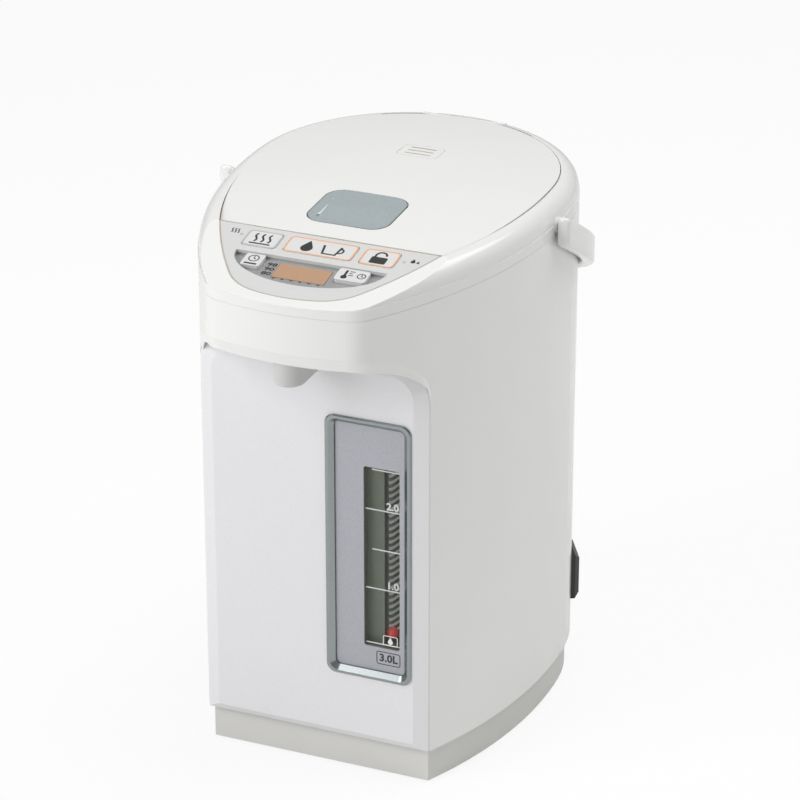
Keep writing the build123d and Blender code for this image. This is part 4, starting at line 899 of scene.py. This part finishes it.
def bail_section(station, along):
    """Rounded cross-section of the bail at a station: points in space, all the way round."""
    out = Vector((-along.y, along.x))
    from_end = station.y - end_y
    middle_z = rear_top - tall_half + (bail_high.y - station.y) * math.tan(HANDLE_FALL)
    tall = tall_half - corner_loss(from_end, HANDLE_END)
    half = thick_half - corner_loss(from_end, HANDLE_EDGE)
    edge = min(HANDLE_EDGE, half * 0.98)
    points = []
    for corner, (side, end) in enumerate(CORNERS):
        centre = (side * (half - edge), end * (tall - edge))
        for across, up in circle(edge, *centre, start=90 * corner, sweep=90, count=6):
            points.append((station.x + out.x * across, station.y + out.y * across, middle_z + up))
    return points


work = bmesh.new()
loops = []
for k, station in enumerate(stations):
    along = stations[min(k + 1, len(stations) - 1)] - stations[max(k - 1, 0)]
    loops.append([work.verts.new(point) for point in bail_section(station, along.normalized())])
for one, two in zip(loops, loops[1:]):
    for k in range(len(one)):
        after = (k + 1) % len(one)
        work.faces.new((one[k], one[after], two[after], two[k]))
work.faces.new(loops[0])
work.faces.new(loops[-1])
bmesh.ops.recalc_face_normals(work, faces=work.faces)
bail_mesh = bpy.data.meshes.new("bail")
work.to_mesh(bail_mesh)
work.free()
bail_mesh.shade_smooth()
bail = link("bail", bail_mesh, finish["white shell"], "bail")
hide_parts("handle")
print("bail:", len(stations), "sections,", len(bail_mesh.polygons), "faces")

# %% [markdown]
# ## Camera
# A long lens from the front right, looking down at about 25 degrees, as in a catalogue: the
# front, the side and the controls are all in view and the upright edges stay nearly parallel.

# %% Camera
CAMERA_PLACE = (0.7828, -1.8518, 1.1506)
CAMERA_DOWN = 0.4408  # radians under the level
CAMERA_TURN = 0.3941  # radians round from the front
camera_data = bpy.data.cameras.new("camera")
camera = bpy.data.objects.new("camera", camera_data)
bpy.context.scene.collection.objects.link(camera)
camera.location = CAMERA_PLACE
camera.rotation_euler = (math.pi / 2 - CAMERA_DOWN, 0.0, CAMERA_TURN)
camera_data.sensor_width = 36.0
camera_data.lens = 162.10
camera_data.shift_x = -0.00365
camera_data.shift_y = -0.0019
camera_data.clip_end = 20.0
bpy.context.scene.camera = camera
print("camera from the pot, m:", round(camera.location.length, 2))

# %% [markdown]
# ## Lights and floor
# White plastic shows its shape only through slow changes of shade, so the lamps are large and far
# away. The key light on the left front makes the front the brightest upright face, the overhead
# light does the lid and the rim, and a weak fill keeps the right side from going flat. The floor
# is plain and pale. The camera sees it as almost white through a mix with an emission that only
# camera rays meet, and the rest of the mix keeps the pot's own soft shadow.


# %% Lights and floor
def area_light(name, place, target, size, watts):
    """A rectangular lamp at a place, turned to a target, with its size in metres."""
    data = bpy.data.lights.new(name, "AREA")
    data.shape = "RECTANGLE"
    data.size, data.size_y = size
    data.energy = watts
    lamp = bpy.data.objects.new(name, data)
    lamp.location = place
    lamp.rotation_euler = (Vector(target) - Vector(place)).to_track_quat("-Z", "Y").to_euler()
    bpy.context.scene.collection.objects.link(lamp)


area_light("key", place=(-1.2, -1.5, 1.3), target=(0, 0, 0.2), size=(1.2, 1.6), watts=28.0)
area_light("overhead", place=(0.6, 0.4, 2.0), target=(0.1, 0, 0.3), size=(1.8, 1.8), watts=25.0)
area_light("fill", place=(1.7, 0.5, 1.0), target=(0, 0, 0.15), size=(1.0, 1.6), watts=0.5)

FLOOR_HALF = 4
floor_corners = [(side * FLOOR_HALF, end * FLOOR_HALF, 0) for side, end in CORNERS]
floor_mesh = bpy.data.meshes.new("floor")
floor_mesh.from_pydata(floor_corners, [], [(0, 1, 2, 3)])
floor = bpy.data.objects.new("floor", floor_mesh)
bpy.context.scene.collection.objects.link(floor)


FLOOR_GLOW = 0.87  # how much of what the camera sees of the floor is even white


def stage_white():
    """A pale floor that the camera sees as nearly plain white, with the pot's soft shadow kept."""
    material, surface, wire = start_material("floor white")
    feed(surface, "Base Color", (0.90, 0.90, 0.90))
    feed(surface, "Roughness", 0.6)
    glow = wire.add("ShaderNodeEmission", None, {"Color": (1, 1, 1, 1), "Strength": 1.0})
    seen = wire.add("ShaderNodeLightPath", output="Is Camera Ray")
    lit = Wire(wire.tree, surface.outputs[0])
    mix = wire.add("ShaderNodeMixShader", None, {0: seen * FLOOR_GLOW, 1: lit, 2: glow})
    wire.tree.links.new(mix.socket, wire.tree.nodes["Material Output"].inputs["Surface"])
    return material


floor_mesh.materials.append(stage_white())

world = bpy.data.worlds.new("studio")
bpy.context.scene.world = world
world.use_nodes = True
sky = world.node_tree.nodes["Background"]
sky.inputs["Color"].default_value = (1.0, 1.0, 0.985, 1.0)
sky.inputs["Strength"].default_value = 0.36
bpy.context.scene.view_settings.view_transform = "Standard"
